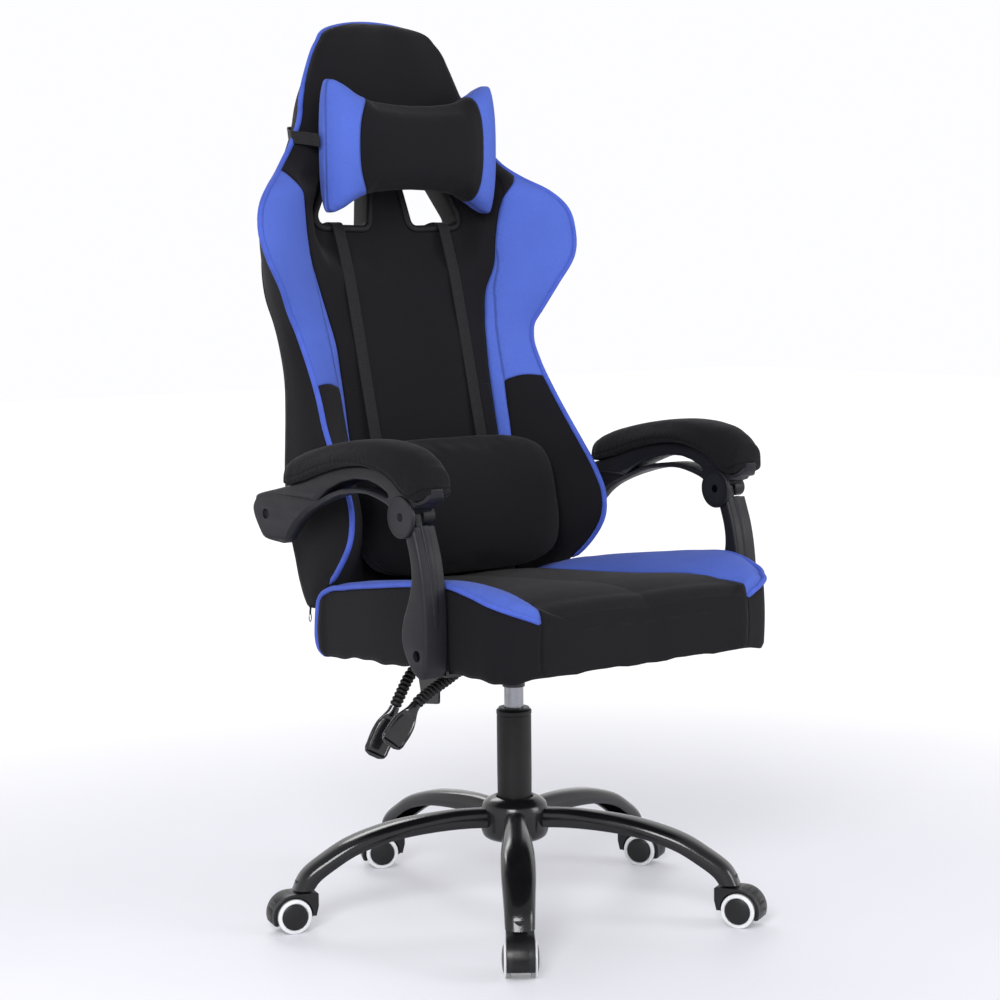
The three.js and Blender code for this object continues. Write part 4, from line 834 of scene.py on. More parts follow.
@dataclass(frozen=True)
class Studio:
    """Where the camera stands and what lights the chair, in millimetres from the gas lift's foot."""

    camera: tuple[float, float, float] = (-2099.0, -2639.0, 938.0)
    target: tuple[float, float, float] = (-13.4, 10.6, 594.6)
    roll: float = -0.548
    lens: float = 85.606
    paper: tuple[int, int, int] = (205, 205, 213)
    glow: tuple[float, float, float, float] = (0.985, 0.985, 1.0, 1.0)
    lift: float = 0.17
    overhead: float = 0.45

    def shoot(self) -> None:
        """Makes the camera, the floor, the pale surroundings and the soft lamps."""
        data = bpy.data.cameras.new("camera")
        data.lens = self.lens
        data.sensor_width = 36.0
        data.clip_end = 40.0
        camera = bpy.data.objects.new("camera", data)
        bpy.context.scene.collection.objects.link(camera)
        place, target = (Vector(chair(np.array(point))) for point in (self.camera, self.target))
        aim = (target - place).to_track_quat("-Z", "Y")
        camera.location = place
        camera.rotation_mode = "QUATERNION"
        camera.rotation_quaternion = aim @ Quaternion((0, 0, 1), math.radians(self.roll))
        bpy.context.scene.camera = camera
        self.floor()
        self.surroundings()
        self.lamp("key", (-2600, -2300, 2300), 1.5, 115.0)
        self.lamp("fill", (2300, -2700, 1500), 1.4, 38.0)
        self.lamp("rim", (900, 2900, 2600), 1.4, 30.0)

    def floor(self) -> None:
        """A wide pale floor that turns into the surroundings' own glow with distance from the chair."""
        side = 12000.0
        front, rear = [[-side, -side, 0], [side, -side, 0]], [[-side, side, 0], [side, side, 0]]
        corners = np.array([front, rear], float)
        floor = grid("floor", corners, solid=False)
        n = Nodes("floor")
        place = n.add("SeparateXYZ", {0: n.add("TexCoord").outputs["Object"]})
        squares = [n.math("POWER", place.outputs[axis], 2) for axis in (0, 1)]
        away = n.math("SQRT", n.math("ADD", *squares))
        near = n.ramp(away, 0.55, 2.1, 1.0, 0.0)
        tone = n.ramp(n.noise(3.0, 3.0), 0.3, 0.7, 0.985, 1.0)
        n.finish(
            Base_Color=n.shade(rgb(*self.paper), n.math("MULTIPLY", tone, near)),
            Roughness=0.5,
            Specular_IOR_Level=0.2,
            Emission_Color=self.glow,
            Emission_Strength=n.math("SUBTRACT", 1.0, n.math("MULTIPLY", near, 1.0 - self.lift)),
        )
        floor.data.materials.append(n.material)

    def surroundings(self) -> None:
        """Pale light from all round, a smooth step dimmer from overhead."""
        world = bpy.data.worlds.new("studio")
        world.use_nodes = True
        tree = world.node_tree
        background = tree.nodes["Background"]
        background.inputs[0].default_value = self.glow
        place = tree.nodes.new("ShaderNodeTexCoord")
        split = tree.nodes.new("ShaderNodeSeparateXYZ")
        fade = tree.nodes.new("ShaderNodeMapRange")
        fade.interpolation_type = "SMOOTHSTEP"
        for number, value in ((1, 0.3), (2, 0.85), (3, 1.0), (4, self.overhead)):
            fade.inputs[number].default_value = value
        tree.links.new(place.outputs["Generated"], split.inputs[0])
        tree.links.new(split.outputs["Z"], fade.inputs[0])
        tree.links.new(fade.outputs[0], background.inputs[1])
        bpy.context.scene.world = world
        bpy.context.scene.view_settings.view_transform = "Standard"

    def lamp(self, name: str, place: Sequence[float], size: float, power: float) -> None:
        """A square soft lamp that faces the seat."""
        data = bpy.data.lights.new(name, "AREA")
        data.size = size
        data.energy = power
        lamp = bpy.data.objects.new(name, data)
        bpy.context.scene.collection.objects.link(lamp)
        lamp.location = Vector(chair(np.array(place, float)))
        aim = Vector(chair(np.array([0, 0, 600.0]))) - lamp.location
        lamp.rotation_euler = aim.to_track_quat("-Z", "Y").to_euler()


# ---------------------------------------------------------------- webbing and pillows


def strap(name: str, route: Array, width: float, across: Points, thick: float = 1.5) -> bpy.types.Object:
    """Flat webbing along a route, with bound edges a little thicker than its middle."""
    half = width / 2
    outline = np.array(
        [[half, 0], [half - 0.4, 0.5], [half - 1.6, 0.55], [half - 2.4, 0.42], [0, 0.42]]
        + [[2.4 - half, 0.42], [1.6 - half, 0.55], [0.4 - half, 0.5], [-half, 0]],
        float,
    )
    outline[:, 1] *= thick
    section = np.concatenate([outline, (outline * [1, -1])[-2:0:-1]])
    along = unit(np.gradient(route, axis=0))
    side = unit(np.broadcast_to(np.asarray(across, float), route.shape))
    rise = unit(np.cross(side, along))
    points = route[:, None] + section[:, :1] * side[:, None] + section[:, 1:] * rise[:, None]
    return grid(name, points, wrap_cols=True, sharp=60)


@dataclass(frozen=True)
class Pillow:
    """A stuffed pillow, built along its length.

    Attributes:
        name: Name of the piece.
        centre: Depth and height of its middle in the back's frame.
        tilt: How far its top leans forward beyond the back, in degrees.
        stations: x, half height, half thickness and squareness, from the middle to one end.
        panel: How far out its left and right end panels begin, along the edges.
        bow: How much further out they begin along the front.
        blue: Whether its end panels are blue.
    """

    name: str
    centre: tuple[float, float]
    tilt: float
    stations: tuple[tuple[float, float, float, float], ...]
    panel: tuple[float, float]
    bow: tuple[float, float]
    blue: bool

    def build(self, rows: int = 110, cols: int = 96) -> bpy.types.Object:
        """Sections are superellipses sized by the stations, and both ends close on a curved seam."""
        table = np.array(self.stations)
        reach = np.sin(np.linspace(-np.pi / 2, np.pi / 2, rows))
        x = reach * table[-1, 0]
        high, thick, square = smooth(table[:, 0], table[:, 1:], np.abs(x)).T[:, :, None]
        turn = 2 * np.pi * (np.arange(cols) + 0.5) / cols
        c, s = np.cos(turn), np.sin(turn)
        up = high * np.sign(s) * np.abs(s) ** square
        out = thick * np.sign(c) * np.abs(c) ** square
        lean = math.radians(self.tilt)
        depth = self.centre[0] + out * math.cos(lean) - up * math.sin(lean)
        height = self.centre[1] + up * math.cos(lean) + out * math.sin(lean)
        points = on_back(np.stack([x[:, None] + 0 * up, depth, height], -1))
        ends = [panel + bow * c**2 for panel, bow in zip(self.panel, self.bow)]
        out_to = np.where(x[:, None] < 0, *ends)
        seam = (np.abs(x[:, None]) - out_to) * MM
        marks = {"blue": seam if self.blue else 0 * seam - 0.06, "crease": (out + 4) * MM}
        return grid(self.name, points, wrap_cols=True, values=marks)


HEAD_PILLOW = Pillow(
    "head_cushion",
    (-66.0, 700.0),
    12.0,
    ((0, 62, 45, 0.84), (45, 64, 45, 0.84), (84, 70, 43, 0.82), (108, 80, 39, 0.78), (128, 91, 32, 0.76))
    + ((141, 95, 23, 0.76), (149, 93, 12, 0.82), (152, 89, 3, 0.9)),
    (88.0, 104.0),
    (26.0, 4.0),
    True,
)
LUMBAR_PILLOW = Pillow(
    "lumbar_cushion",
    (-68.0, 166.0),
    0.0,
    ((0, 100, 50, 0.86), (60, 100, 49, 0.86), (105, 97, 46, 0.84), (135, 90, 41, 0.82), (155, 80, 33, 0.8))
    + ((166, 69, 22, 0.8), (172, 58, 10, 0.84), (174.5, 50, 2, 0.9)),
    (138.0, 138.0),
    (6.0, 6.0),
    False,
)


# ---------------------------------------------------------------- the back


@dataclass(frozen=True)
class Backrest:
    """The back: its cover and piping, the rims of its harness slots, its straps and its zip's pull.

    Attributes:
        sections: Height up the back; edge half width and depth; seam x and depth; middle depth; rear half
            width; rear side and middle depths. Depth grows towards the rear.
        slot_corners: x and height of the right harness slot's corners.
        panel_foot: Height where the blue wing panel starts.
        stripe_foot: Height where the narrow blue strip beside it starts.
        stripe_top: Height where the strip's seam leaves the wing's own seam.
        shoulder: Heights where the blue panel's top leaves the seam and reaches the edge.
        strap_x: Distance of each lumbar strap from the middle.
        strap_width: Width of a lumbar strap.
        neck: Height of the head band where it crosses the middle of the back's thickness.
        neck_slope: How far the band drops for each millimetre that it comes forward.
        fill: How full the cover is.
        pillow_cap: Furthest that the pillows swell.
    """

    sections: Table = (
        (40, 206, -8, 140, -5, -2, 206, 46, 46),
        (60, 218, -22, 140, -7, -4, 217, 38, 46),
        (85, 227, -70, 140, -9, -6, 226, 30, 45),
        (117, 230.5, -112, 139, -11, -8, 230, 27, 45),
        (155, 230, -128, 138, -12, -10, 231, 31, 46),
        (197, 227, -120, 138, -12, -12, 229, 34, 47),
        (242, 225, -97.5, 138, -12, -14, 225, 34, 47.5),
        (288, 220, -76, 138, -11, -14, 219, 31, 48),
        (332, 213, -59.5, 137, -11, -14, 213, 29, 48),
        (376, 209, -43, 137, -11, -13, 208, 29, 48),
        (419, 211, -31.5, 138.5, -12, -11, 208, 31, 48),
        (440, 217, -32, 141, -10.5, -9, 210, 31, 48),
        (458, 229, -40, 144.5, -9.6, -6, 214, 29, 47.5),
        (495, 251.5, -60, 152.5, -9.5, -2, 226, 23, 46),
        (533, 276.7, -75, 167, -20, 3, 229, 19, 44),
        (573, 285, -76.5, 173, -25, 8, 224, 17, 42),
        (615, 274, -74, 178.5, -36.5, 12, 212, 17, 40),
        (637, 254.6, -64, 183, -45, 11, 203, 18, 39),
        (662, 224, -42, 182, -40, 6, 186, 20, 39),
        (685, 200, -27, 160, -35, -7, 174, 24, 39),
        (707, 182, -23, 146, -31, -17, 161, 27, 39),
        (747, 160, -23, 128, -30, -33, 142, 28, 38),
        (789, 145, -17, 122, -34, -40, 128, 27, 36),
        (829, 124, -9, 113, -37, -42, 108, 21, 32),
        (869, 104, -14, 97, -34, -38, 86, 12, 25),
        (890, 82, -12, 76, -28, -31, 60, 5, 16),
        (905, 30, -5, 24, -14, -15, 24, 0, 6),
    )
    slot_corners: Table = ((42, 600), (124, 602), (128, 614), (98, 668), (30, 668))
    panel_foot: float = 352.0
    stripe_foot: float = 244.0
    stripe_top: float = 560.0
    shoulder: tuple[float, float] = (627.0, 672.0)
    strap_x: float = 97.0
    strap_width: float = 20.0
    neck: float = 732.0
    neck_slope: float = 0.37
    fill: float = 0.8
    pillow_cap: float = 4.0

    @property
    def table(self) -> Array:
        """The sections as an array."""
        return np.array(self.sections, float)

    @property
    def corners(self) -> Array:
        """The slot's corners as an array."""
        return np.array(self.slot_corners, float)

    def slot_outline(self, spread: float, radius: float = 9.0) -> Array:
        """The harness slot's rounded outline in (x, height), grown by spread."""
        middle = self.corners.mean(0)
        outline = filleted(self.corners, radius, 6, closed=True)
        step = np.roll(outline, -1, axis=0) - np.roll(outline, 1, axis=0)
        outward = unit(np.stack([step[:, 1], -step[:, 0]], -1))
        facing = np.sign(((outline - middle) * outward).sum(-1).mean())
        return outline + outward * facing * spread

    def rows(self, count: int) -> Array:
        """Sections of the back spread evenly along its edge, from its foot to its crown."""
        heights = np.linspace(self.table[0, 0], self.table[-1, 0], 900)
        table = smooth(self.table[:, 0], self.table, heights)
        steps = np.linalg.norm(np.diff(table[:, :3], axis=0), axis=1)
        length = np.concatenate([[0], np.cumsum(steps)])
        at = np.interp(np.linspace(0, length[-1], count), length, heights)
        return smooth(self.table[:, 0], self.table, at)

    def cover(self, rows: int = 190) -> bpy.types.Object:
        """The back's cover as one closed skin.

        Each section goes from the middle of the front, dished, to the seam; along the wing, crowned between
        its seam and its edge; round the side; and over the rear as a superellipse. Sections near the foot and
        the crown close up like the end of a capsule. Seams sink in by a bell-shaped groove, and the front
        lies flat round the harness slots. A positive "blue" is the way into a blue panel and "crease" the way
        to its inner seam, both in metres.

        Returns:
            The cover, before its slots are cut.
        """
        table = self.rows(rows)
        s, hx, te, xs, ts, tc, rx, rt, rm = (column[:, None] for column in table.T)
        u = np.sin(np.linspace(0, np.pi / 2, 27))[None, :]
        v = (1 - np.cos(np.linspace(0, np.pi, 27)[1:]))[None, :] / 2
        w = np.linspace(0, 1, 14)[None, 1:]
        turn = np.linspace(0, np.pi / 2, 31)[None, 1:]
        wing = np.hypot(hx - xs, te - ts)
        swell = np.interp(s, [60, 160, 420, 570, 660, 720, 790, 830, 905], [5, 9, 6, 10, 6, 2, 6, 8, 2])
        crown = swell * (4 * v * (1 - v)) ** (0.62 + 0.38 * ease(s, 690, 790))
        out_x, out_t = (te - ts) / wing, -(hx - xs) / wing
        front_x, front_t = xs * u, tc + (ts - tc) * u**2 - 2.2 * np.sin(np.pi * u) ** 2
        wing_x = xs + (hx - xs) * v + out_x * crown
        wing_t = ts + (te - ts) * v + out_t * crown
        side = np.hypot(rx - hx, rt - te)
        side_x = hx + (rx - hx) * w + 4.5 * np.sin(np.pi * w) * np.minimum(side / 60, 1)
        side_t = te + (rt - te) * w
        power = 2 / 2.6
        rear_x = rx * np.cos(turn) ** power
        rear_t = rt + (rm - rt) * np.sin(turn) ** power
        x = np.concatenate([front_x, wing_x, side_x, rear_x], 1)
        t = np.concatenate([front_t, wing_t, side_t, rear_t], 1)

        inward = v * wing
        stripe = np.interp(s, [self.stripe_foot, 352, 480, self.stripe_top], [20, 21, 15, 0.5])
        arch = 5 * np.sin(np.pi * np.clip((inward - stripe) / (wing - stripe), 0, 1))
        below = self.shoulder[0] + (self.shoulder[1] - self.shoulder[0]) * v**0.5 - s
        wing_blue = np.minimum(
            np.minimum(inward, below),
            np.maximum(s - self.panel_foot - arch, np.minimum(stripe - inward, s - self.stripe_foot)),
        )
        high = s > self.shoulder[0]
        front_blue = np.where(high, np.minimum((u - 1) * xs, self.shoulder[0] - s), (u - 1) * xs)
        blue = np.concatenate([front_blue, wing_blue, -w * side - 0.5, 0 * rear_x - 90], 1)
        seamed = np.where((s > self.stripe_foot - 4) & (s < self.stripe_top), stripe - inward, -60.0)
        rear_seam = np.hypot(rear_x - rx, rear_t - rt)
        crease = np.concatenate([0 * front_x + 60, seamed, (w - 1) * side, rear_seam], 1)
        lower = (s < self.panel_foot) & (s > 60)
        own_seam = np.where(lower, inward, 60.0)
        front_seam = np.where(lower, (u - 1) * xs, 60.0)
        joint = np.concatenate([front_seam, own_seam, 0 * side_x + 60, 0 * rear_x + 60], 1)
        crease = np.where(np.abs(joint) < np.minimum(np.abs(crease), 60), joint, crease)
        near = np.minimum(np.abs(blue), np.abs(crease))
        groove = 1.5 * np.exp(-((near / 3.2) ** 2))
        t = t + groove * np.where(np.arange(t.shape[1])[None, :] < 53, 1.0, 0.0)

        flat = np.ones_like(t)
        front = np.arange(t.shape[1]) < 40
        under = self.corners[:2, 1].min()
        level = np.where(s < under, under - 0.42 * (under - s), s)
        spot = np.stack(np.broadcast_arrays(x, level), -1)[:, front]
        flat[:, front] = ease(outline_distance(spot, self.slot_outline(0.0)), 13, 34)
        t = t * flat + 10.0 * (1 - flat)

        foot, top = s - self.table[0, 0], self.table[-1, 0] - s
        close = np.sqrt(1 - (1 - np.clip(np.minimum(foot / 8, top / 9), 0.02, 1)) ** 2)
        middle = np.where(foot < top, (te + rt) / 2 + 4, (t[:, :1] + rm) / 2)
        t = middle + (t - middle) * close
        x = x - 5 * (1 - close) * np.clip(x / 40, 0, 1) * (foot < top)

        right = np.stack([x, t, np.broadcast_to(s, x.shape)], -1)
        ring = np.concatenate([right, mirrored(right[:, -2:0:-1])], 1)
        marks = {}
        for key, value in (("blue", blue), ("crease", crease)):
            marks[key] = np.concatenate([value, value[:, -2:0:-1]], 1) * MM
        return grid("back_cover", on_back(ring), wrap_cols=True, values=marks)

    def slot_cutter(self, side: int) -> bpy.types.Object:
        """A closed plug through the back where a harness slot goes."""
        outline = self.slot_outline(1.2)
        depths = np.array([-70.0, 70.0])[:, None]
        points = np.stack(np.broadcast_arrays(side * outline[None, :, 0], depths, outline[None, :, 1]), -1)
        return grid("slot_cutter", on_back(points), wrap_cols=True)

    def edge_piping(self, side: int, start: float = 72.0) -> Array:
        """The line of the piping up one edge of the back, from start to the crown."""
        heights = np.linspace(start, self.table[-1, 0], 500)
        table = smooth(self.table[:, 0], self.table, heights)
        outward = unit(table[:, 1:3] - np.stack([0 * heights, table[:, 8]], -1))
        return np.stack([side * (table[:, 1] + outward[:, 0]), table[:, 2] + outward[:, 1], heights], -1)

    def piping_line(self) -> Array:
        """One length of piping from the foot of the left wing over the crown to the foot of the right."""
        left, right = self.edge_piping(-1), self.edge_piping(1)[::-1]
        return even(np.concatenate([left[:-6], right[6:]]), 420)

    def slot_rim(self, side: int) -> bpy.types.Object:
        """A moulded rim round a harness slot: a rounded flange in front and a wall through the back."""
        section = np.array(
            [[10.8, 10.6], [11.0, 8.6], [9.6, 6.9], [6.5, 5.9], [3.0, 5.9], [0.8, 6.8], [0.2, 8.6], [0, 14]]
            + [[0, 43], [0.6, 44.4], [3.5, 45.2], [7.2, 44.6], [8.0, 42.8], [7.4, 41.4], [1.1, 41.2]]
            + [[1.1, 11.2], [10.2, 11.2]],
            float,
        )
        points = np.stack([self.slot_outline(away) for away, _ in section])
        depth = section[:, 1, None] + 0 * points[..., 0]
        place = np.stack([side * points[..., 0], depth, points[..., 1]], -1)
        return grid(f"slot_rim_{SIDE[side]}", on_back(place), wrap_rows=True, wrap_cols=True, sharp=50)

    def lumbar_strap(self, side: int) -> bpy.types.Object:
        """One of the pair that hangs the lumbar pillow: out of the slot, over its rim and down."""
        route = [(-24, 240), (-22, 268), (-18.5, 330), (-14.6, 410), (-11.6, 470), (-8, 520), (-3.6, 555)]
        route += [(1, 583), (3.6, 596), (7, 602.5), (15, 605.5), (30, 606.5), (41, 605.5), (48, 601)]
        route += [(50, 594), (50, 560), (50, 440)]
        depth, height = even(np.array(route, float), 90).T
        x = side * (self.strap_x + 0 * height)
        line = on_back(np.stack([x, depth, height], -1))
        return strap(f"lumbar_webbing_{SIDE[side]}", line, self.strap_width, (1, 0, 0))

    def head_strap(self) -> bpy.types.Object:
        """The elastic band round the neck of the back, from one end of the head pillow to the other.

        Half of the band runs over the rear and the side of the back's own section, a little outside it, then
        over the piping to the pillow's end. Its height falls in step with its depth, so the section is read
        again at the new heights until both agree.
        """
        turn = np.linspace(np.pi / 2, 0, 60)[:-1]
        w = np.linspace(0, 0.94, 16)
        height = np.full(len(turn) + len(w) + 4, self.neck)
        for _ in range(4):
            hx, te, _, _, _, rx, rt, rm = smooth(self.table[:, 0], self.table, height)[:, 1:].T
            rear, side, tip = (slice(0, len(turn)), slice(len(turn), -4), slice(-4, None))
            beside = rx[side] + (hx[side] - rx[side]) * w
            x = np.concatenate([rx[rear] * np.cos(turn) ** (2 / 2.6), beside, hx[tip]])
            behind = rt[rear] + (rm[rear] - rt[rear]) * np.sin(turn) ** (2 / 2.6)
            t = np.concatenate([behind, rt[side] + (te[side] - rt[side]) * w, te[tip]])
            x[side] += 4.5 * np.sin(np.pi * w)
            x += np.concatenate([2.4 * np.cos(turn), 2.4 + 0 * w + 3.4 * w**3, [5.0, 0.5, -14, -23]])
            t += np.concatenate([2.4 * np.sin(turn), 0 * w, [-3.5, -7.5, -24, -42]])
            height = self.neck + self.neck_slope * t
        half = np.stack([x, t, height], -1)
        route = even(np.concatenate([half[:0:-1] * [-1, 1, 1], half]), 220)
        up = on_back(np.array([[0, 0, 0], [0, 0, 1.0]]))
        return strap("head_band", on_back(route), 19.0, up[1] - up[0], 1.6)

    def zip_pull(self) -> dict[str, bpy.types.Object]:
        """The zip's pull at the back's lower corner: a short cord, and an oval wire ring hanging from it."""
        x, depth, height = -213.0, 31.0, 46.0
        top = on_back(np.array([x, depth, height]))
        cord = top + np.array([[0, 0, 2.0], [0.2, 0.3, -4], [0, 0.8, -9], [0, 1.0, -12.5]])
        turn = 2 * np.pi * np.arange(28) / 28
        ring = np.stack([2.4 * np.sin(turn), 0.6 * np.sin(turn), 5.6 * np.cos(turn)], -1)
        ring = ring + top + [0, 1.0, -17.0]
        side, rise = np.array([0.24, -0.97, 0.0]), unit(ring - ring.mean(0))
        section = circle(10, 0.9)
        rings = ring[:, None] + section[None, :, :1] * side + section[None, :, 1:] * rise[:, None]
        return {
            "cord": tube("zip_cord", even(cord, 14), 1.5, up=(0, 1, 0)),
            "ring": grid("zip_ring", rings, wrap_rows=True, wrap_cols=True),
        }

    def dress(self, dresser: Dresser) -> None:
        """Builds the cover, piping, slot rims, straps, zip pull and pillows."""
        wear = dresser.wear
        cover = carve(self.cover(), [self.slot_cutter(-1), self.slot_cutter(1)])
        wear(cover, Finish.COVER, "back", ["back_cushion"], self.fill)
        piping = tube("back_piping", on_back(self.piping_line()), 4.0, taper=12.0)
        wear(piping, Finish.PIPING, "back")
        for side, name in SIDE.items():
            wear(self.slot_rim(side), Finish.SLOT_RIM, "back", [f"slot_bezel_{name}"])
            wear(self.lumbar_strap(side), Finish.WEBBING, "back", [f"lumbar_strap_{name}"])
        wear(self.head_strap(), Finish.WEBBING, "back", ["head_strap"])
        pull = self.zip_pull()
        wear(pull["cord"], Finish.WEBBING, "back")
        wear(pull["ring"], Finish.CHROME, "back")
        for pillow, node in ((HEAD_PILLOW, "head_pillow"), (LUMBAR_PILLOW, "lumbar_pillow")):
            wear(inflate(pillow.build(), self.pillow_cap), Finish.COVER, "back", [node], self.fill)


# ---------------------------------------------------------------- the seat


@dataclass(frozen=True)
class Seat:
    """The seat's cover and the piping along its sides.

    Attributes:
        sections: y; underside; half width; outer seam x, z; crest x, z; panel seam x, z; middle z.
        tip: y where the blue bolster panels come to a point.
        board: Height of the underside where it lies on the board.
        fill: How full the cover is.
    """

    sections: Table = (
        (-290, 399, 184, 183, 469, 176, 474, 150, 474, 473),
        (-283, 392, 213, 212, 480, 200, 487, 166, 481, 482),
        (-262, 392, 239, 238, 492, 222, 502, 172, 488, 489),
        (-230, 393, 249, 248, 503, 230, 512, 172, 493, 494),
        (-190, 395, 253, 252, 511, 236, 519, 165, 493, 495),
        (-110, 393, 255, 254, 507, 238, 514, 160, 486, 490),
        (-20, 389, 252, 251, 496, 233, 504, 160, 479, 485),
        (70, 383, 244, 242, 483, 225, 491, 158, 474, 478),
        (120, 379, 239, 237, 473, 221, 480, 153, 470, 473),
        (143, 381, 238, 235.5, 460, 217, 467, 149, 462, 465),
        (152, 391, 233, 230, 443, 213, 449, 145, 447, 449),
    )
    tip: float = -290.0
    board: float = 396.5
    fill: float = 0.8

    @property
    def table(self) -> Array:
        """The sections as an array."""
        return np.array(self.sections, float)

    def rows(self, count: int) -> Array:
        """Sections of the seat from its front to its rear, closer together near both ends."""
        share = (1 - np.cos(np.linspace(0, np.pi, count))) / 2
        y = self.table[0, 0] + share * (self.table[-1, 0] - self.table[0, 0])
        return smooth(self.table[:, 0], self.table, y)

    def hem_wave(self, around: Array) -> Array:
        """How far the sewn lower edge strays up and down: two slow waves along it."""
        return 1.5 * np.sin(0.052 * around) + 1.0 * np.sin(0.131 * around + 1.0)

    def cover(self, rows: int = 120) -> bpy.types.Object:
        """The seat's cover as one closed skin.

        Each section runs from the middle of the underside out to the side, up to the outer seam, over the
        bolster's crest down to the panel seam, and across the slightly domed middle. The end sections shrink
        towards a short line across the chair, which makes the front and rear faces.
        """
        table = self.rows(rows)
        y, under, half, ox, oz, cx, cz, px, pz, mz = (column[:, None] for column in table.T)
        a = np.linspace(0, 1, 12)[None, :]
        b = np.linspace(0, 1, 17)[None, 1:]
        c = (1 - np.cos(np.linspace(0, np.pi, 25)[1:]))[None, :] / 2
        d = np.sin(np.linspace(0, np.pi / 2, 27))[None, 1:]
        under_x = (half - 4) * a
        flat_under = np.maximum(under, self.board)
        under_z = flat_under + (under - flat_under) * a**6 + 1.5 * a**8
        lift = np.clip(b * 16, 0, 1)
        side_x = half - 4 * (1 - lift) ** 2 + (ox - half) * b**2 + 2.4 * np.sin(np.pi * b)
        side_z = under + 1.5 + (oz - under - 1.5) * b
        under_z = under_z + self.hem_wave(under_x + y) * np.maximum(a**6, 1 - ease(y - y[0], 0, 8))
        side_z = side_z + self.hem_wave(half + y) * (1 - b) ** 3
        span = np.hypot(px - ox, pz - oz)
        rise = cz - (oz + (pz - oz) * np.abs(cx - ox) / np.abs(px - ox))
        bolster_x = ox + (px - ox) * c
        full = 0.62 + 1.0 * ease(-y, 215, 280)
        bolster_z = oz + (pz - oz) * c + rise * (4 * c * (1 - c)) ** full * (1.18 - 0.36 * c)
        flat_x = px * (1 - d)
        flat_z = pz + (mz - pz) * np.sin(np.pi / 2 * d) + 3.2 * np.sin(np.pi * d) ** 0.8
        x = np.concatenate([under_x, side_x, bolster_x, flat_x], 1)
        z = np.concatenate([under_z, side_z, bolster_z, flat_z], 1)

        inside = c * span
        tip = y - self.tip
        inner = np.interp(y, [-290, -283, -274, -258, -240, -215, -190], [183, 183, 181, 176, 171, 167, 165])
        leaf = np.minimum(np.minimum(inside, tip), np.where(y < -190, bolster_x - inner, (1 - c) * span))
        beyond = np.where(y < -190, np.minimum(flat_x - inner, -0.2), -d * px)
        far = 0 * under_x - 60
        blue = np.concatenate([far, (b - 1) * (oz - under), leaf, np.minimum(beyond, tip)], 1)
        corner = np.hypot(half - half[0], y - y[0])
        plain = [0 * bolster_x - 60, 0 * flat_x - 60]
        crease = np.concatenate([corner + 0 * under_x, corner + 0 * side_x, *plain], 1)
        near = np.abs(blue)
        z = z - np.where((np.arange(x.shape[1]) > 26)[None, :], 1.6 * np.exp(-((near / 3.2) ** 2)), 0)

        right = np.stack([x, np.broadcast_to(y, x.shape), z], -1)
        ring = np.concatenate([right, mirrored(right[:, -2:0:-1])], 1)
        marks = [np.concatenate([value, value[:, -2:0:-1]], 1) for value in (blue, crease)]
        shares = np.array([0.06, 0.25, 0.45, 0.62, 0.76, 0.87, 0.95])[:, None, None]
        blocks, values = [ring], [np.stack(marks, -1)]
        for first, out in ((True, -1.0), (False, 1.0)):
            edge = ring[0] if first else ring[-1]
            level = 0 * edge[:, 2] + edge[:, 2].mean()
            target = np.stack([np.clip(edge[:, 0], -120, 120), edge[:, 1], level], -1)
            fill = target + shares * (edge - target)
            fill[..., 1] += out * 4.0 * np.sqrt(1 - shares[..., 0] ** 2)
            seam = np.abs(fill[..., 0]) - self.table[0, 2] - 0.5
            value = np.stack([0 * seam - 60, seam if first else 0 * seam + 60], -1)
            blocks.insert(0, fill) if first else blocks.append(fill[::-1])
            values.insert(0, value) if first else values.append(value[::-1])
        value = np.concatenate(values) * MM
        marks = {"blue": value[..., 0], "crease": value[..., 1]}
        return grid("seat_cover", np.concatenate(blocks), wrap_cols=True, values=marks)

    def piping_line(self, side: int) -> Array:
        """The line of the piping along the seat's outer seam and down its rear corner."""
        table = self.rows(160)
        seam = np.stack([table[:, 3] + 1.6, table[:, 0], table[:, 4] + 0.8], -1)
        seam = seam[(seam[:, 1] > self.tip + 2.5) & (seam[:, 1] < 124)]
        start = np.array([[180.0, -284, 463], [187, -287, 469]])
        end = np.array(
            [[237, 135, 467], [235.5, 145, 457.5], [234.5, 150.5, 443], [234.5, 153, 423], [234.5, 153, 403]]
            + [[234.5, 148, 389.5], [233, 137, 381.5], [229, 122, 379.5]]
        )
        return even(np.concatenate([start, seam, end]), 300) * [side, 1, 1]

    def dress(self, dresser: Dresser) -> None:
        """Builds the cover and both lengths of piping."""
        dresser.wear(self.cover(), Finish.COVER, "seat", ["seat_cushion"], self.fill)
        for side, name in SIDE.items():
            line = self.piping_line(side)
            piping = tube(f"seat_piping_{name}", line, 3.8, up=(side, 0, 1), taper=16.0)
            dresser.wear(piping, Finish.PIPING, "seat")


# ---------------------------------------------------------------- armrests


def rounded(points: Points, count: int) -> Array:
    """A smooth closed outline through given points."""
    loop = np.asarray(list(points) + list(points)[:1], float)
    return even(through(loop, 12 * len(loop)), count + 1)[:-1]


def wheeled(
    profile: Points, x_axis: float, centre: Sequence[float], fillet: float = 0.5, count: int = 48
) -> Array:
    """A profile of (radius, x) turned about a line along X, through centre in (y, z); x_axis is 1 or -1."""
    rings = lathe(profile, fillet, count)
    return np.stack([x_axis * rings[..., 2], centre[0] + rings[..., 0], centre[1] + rings[..., 1]], -1)


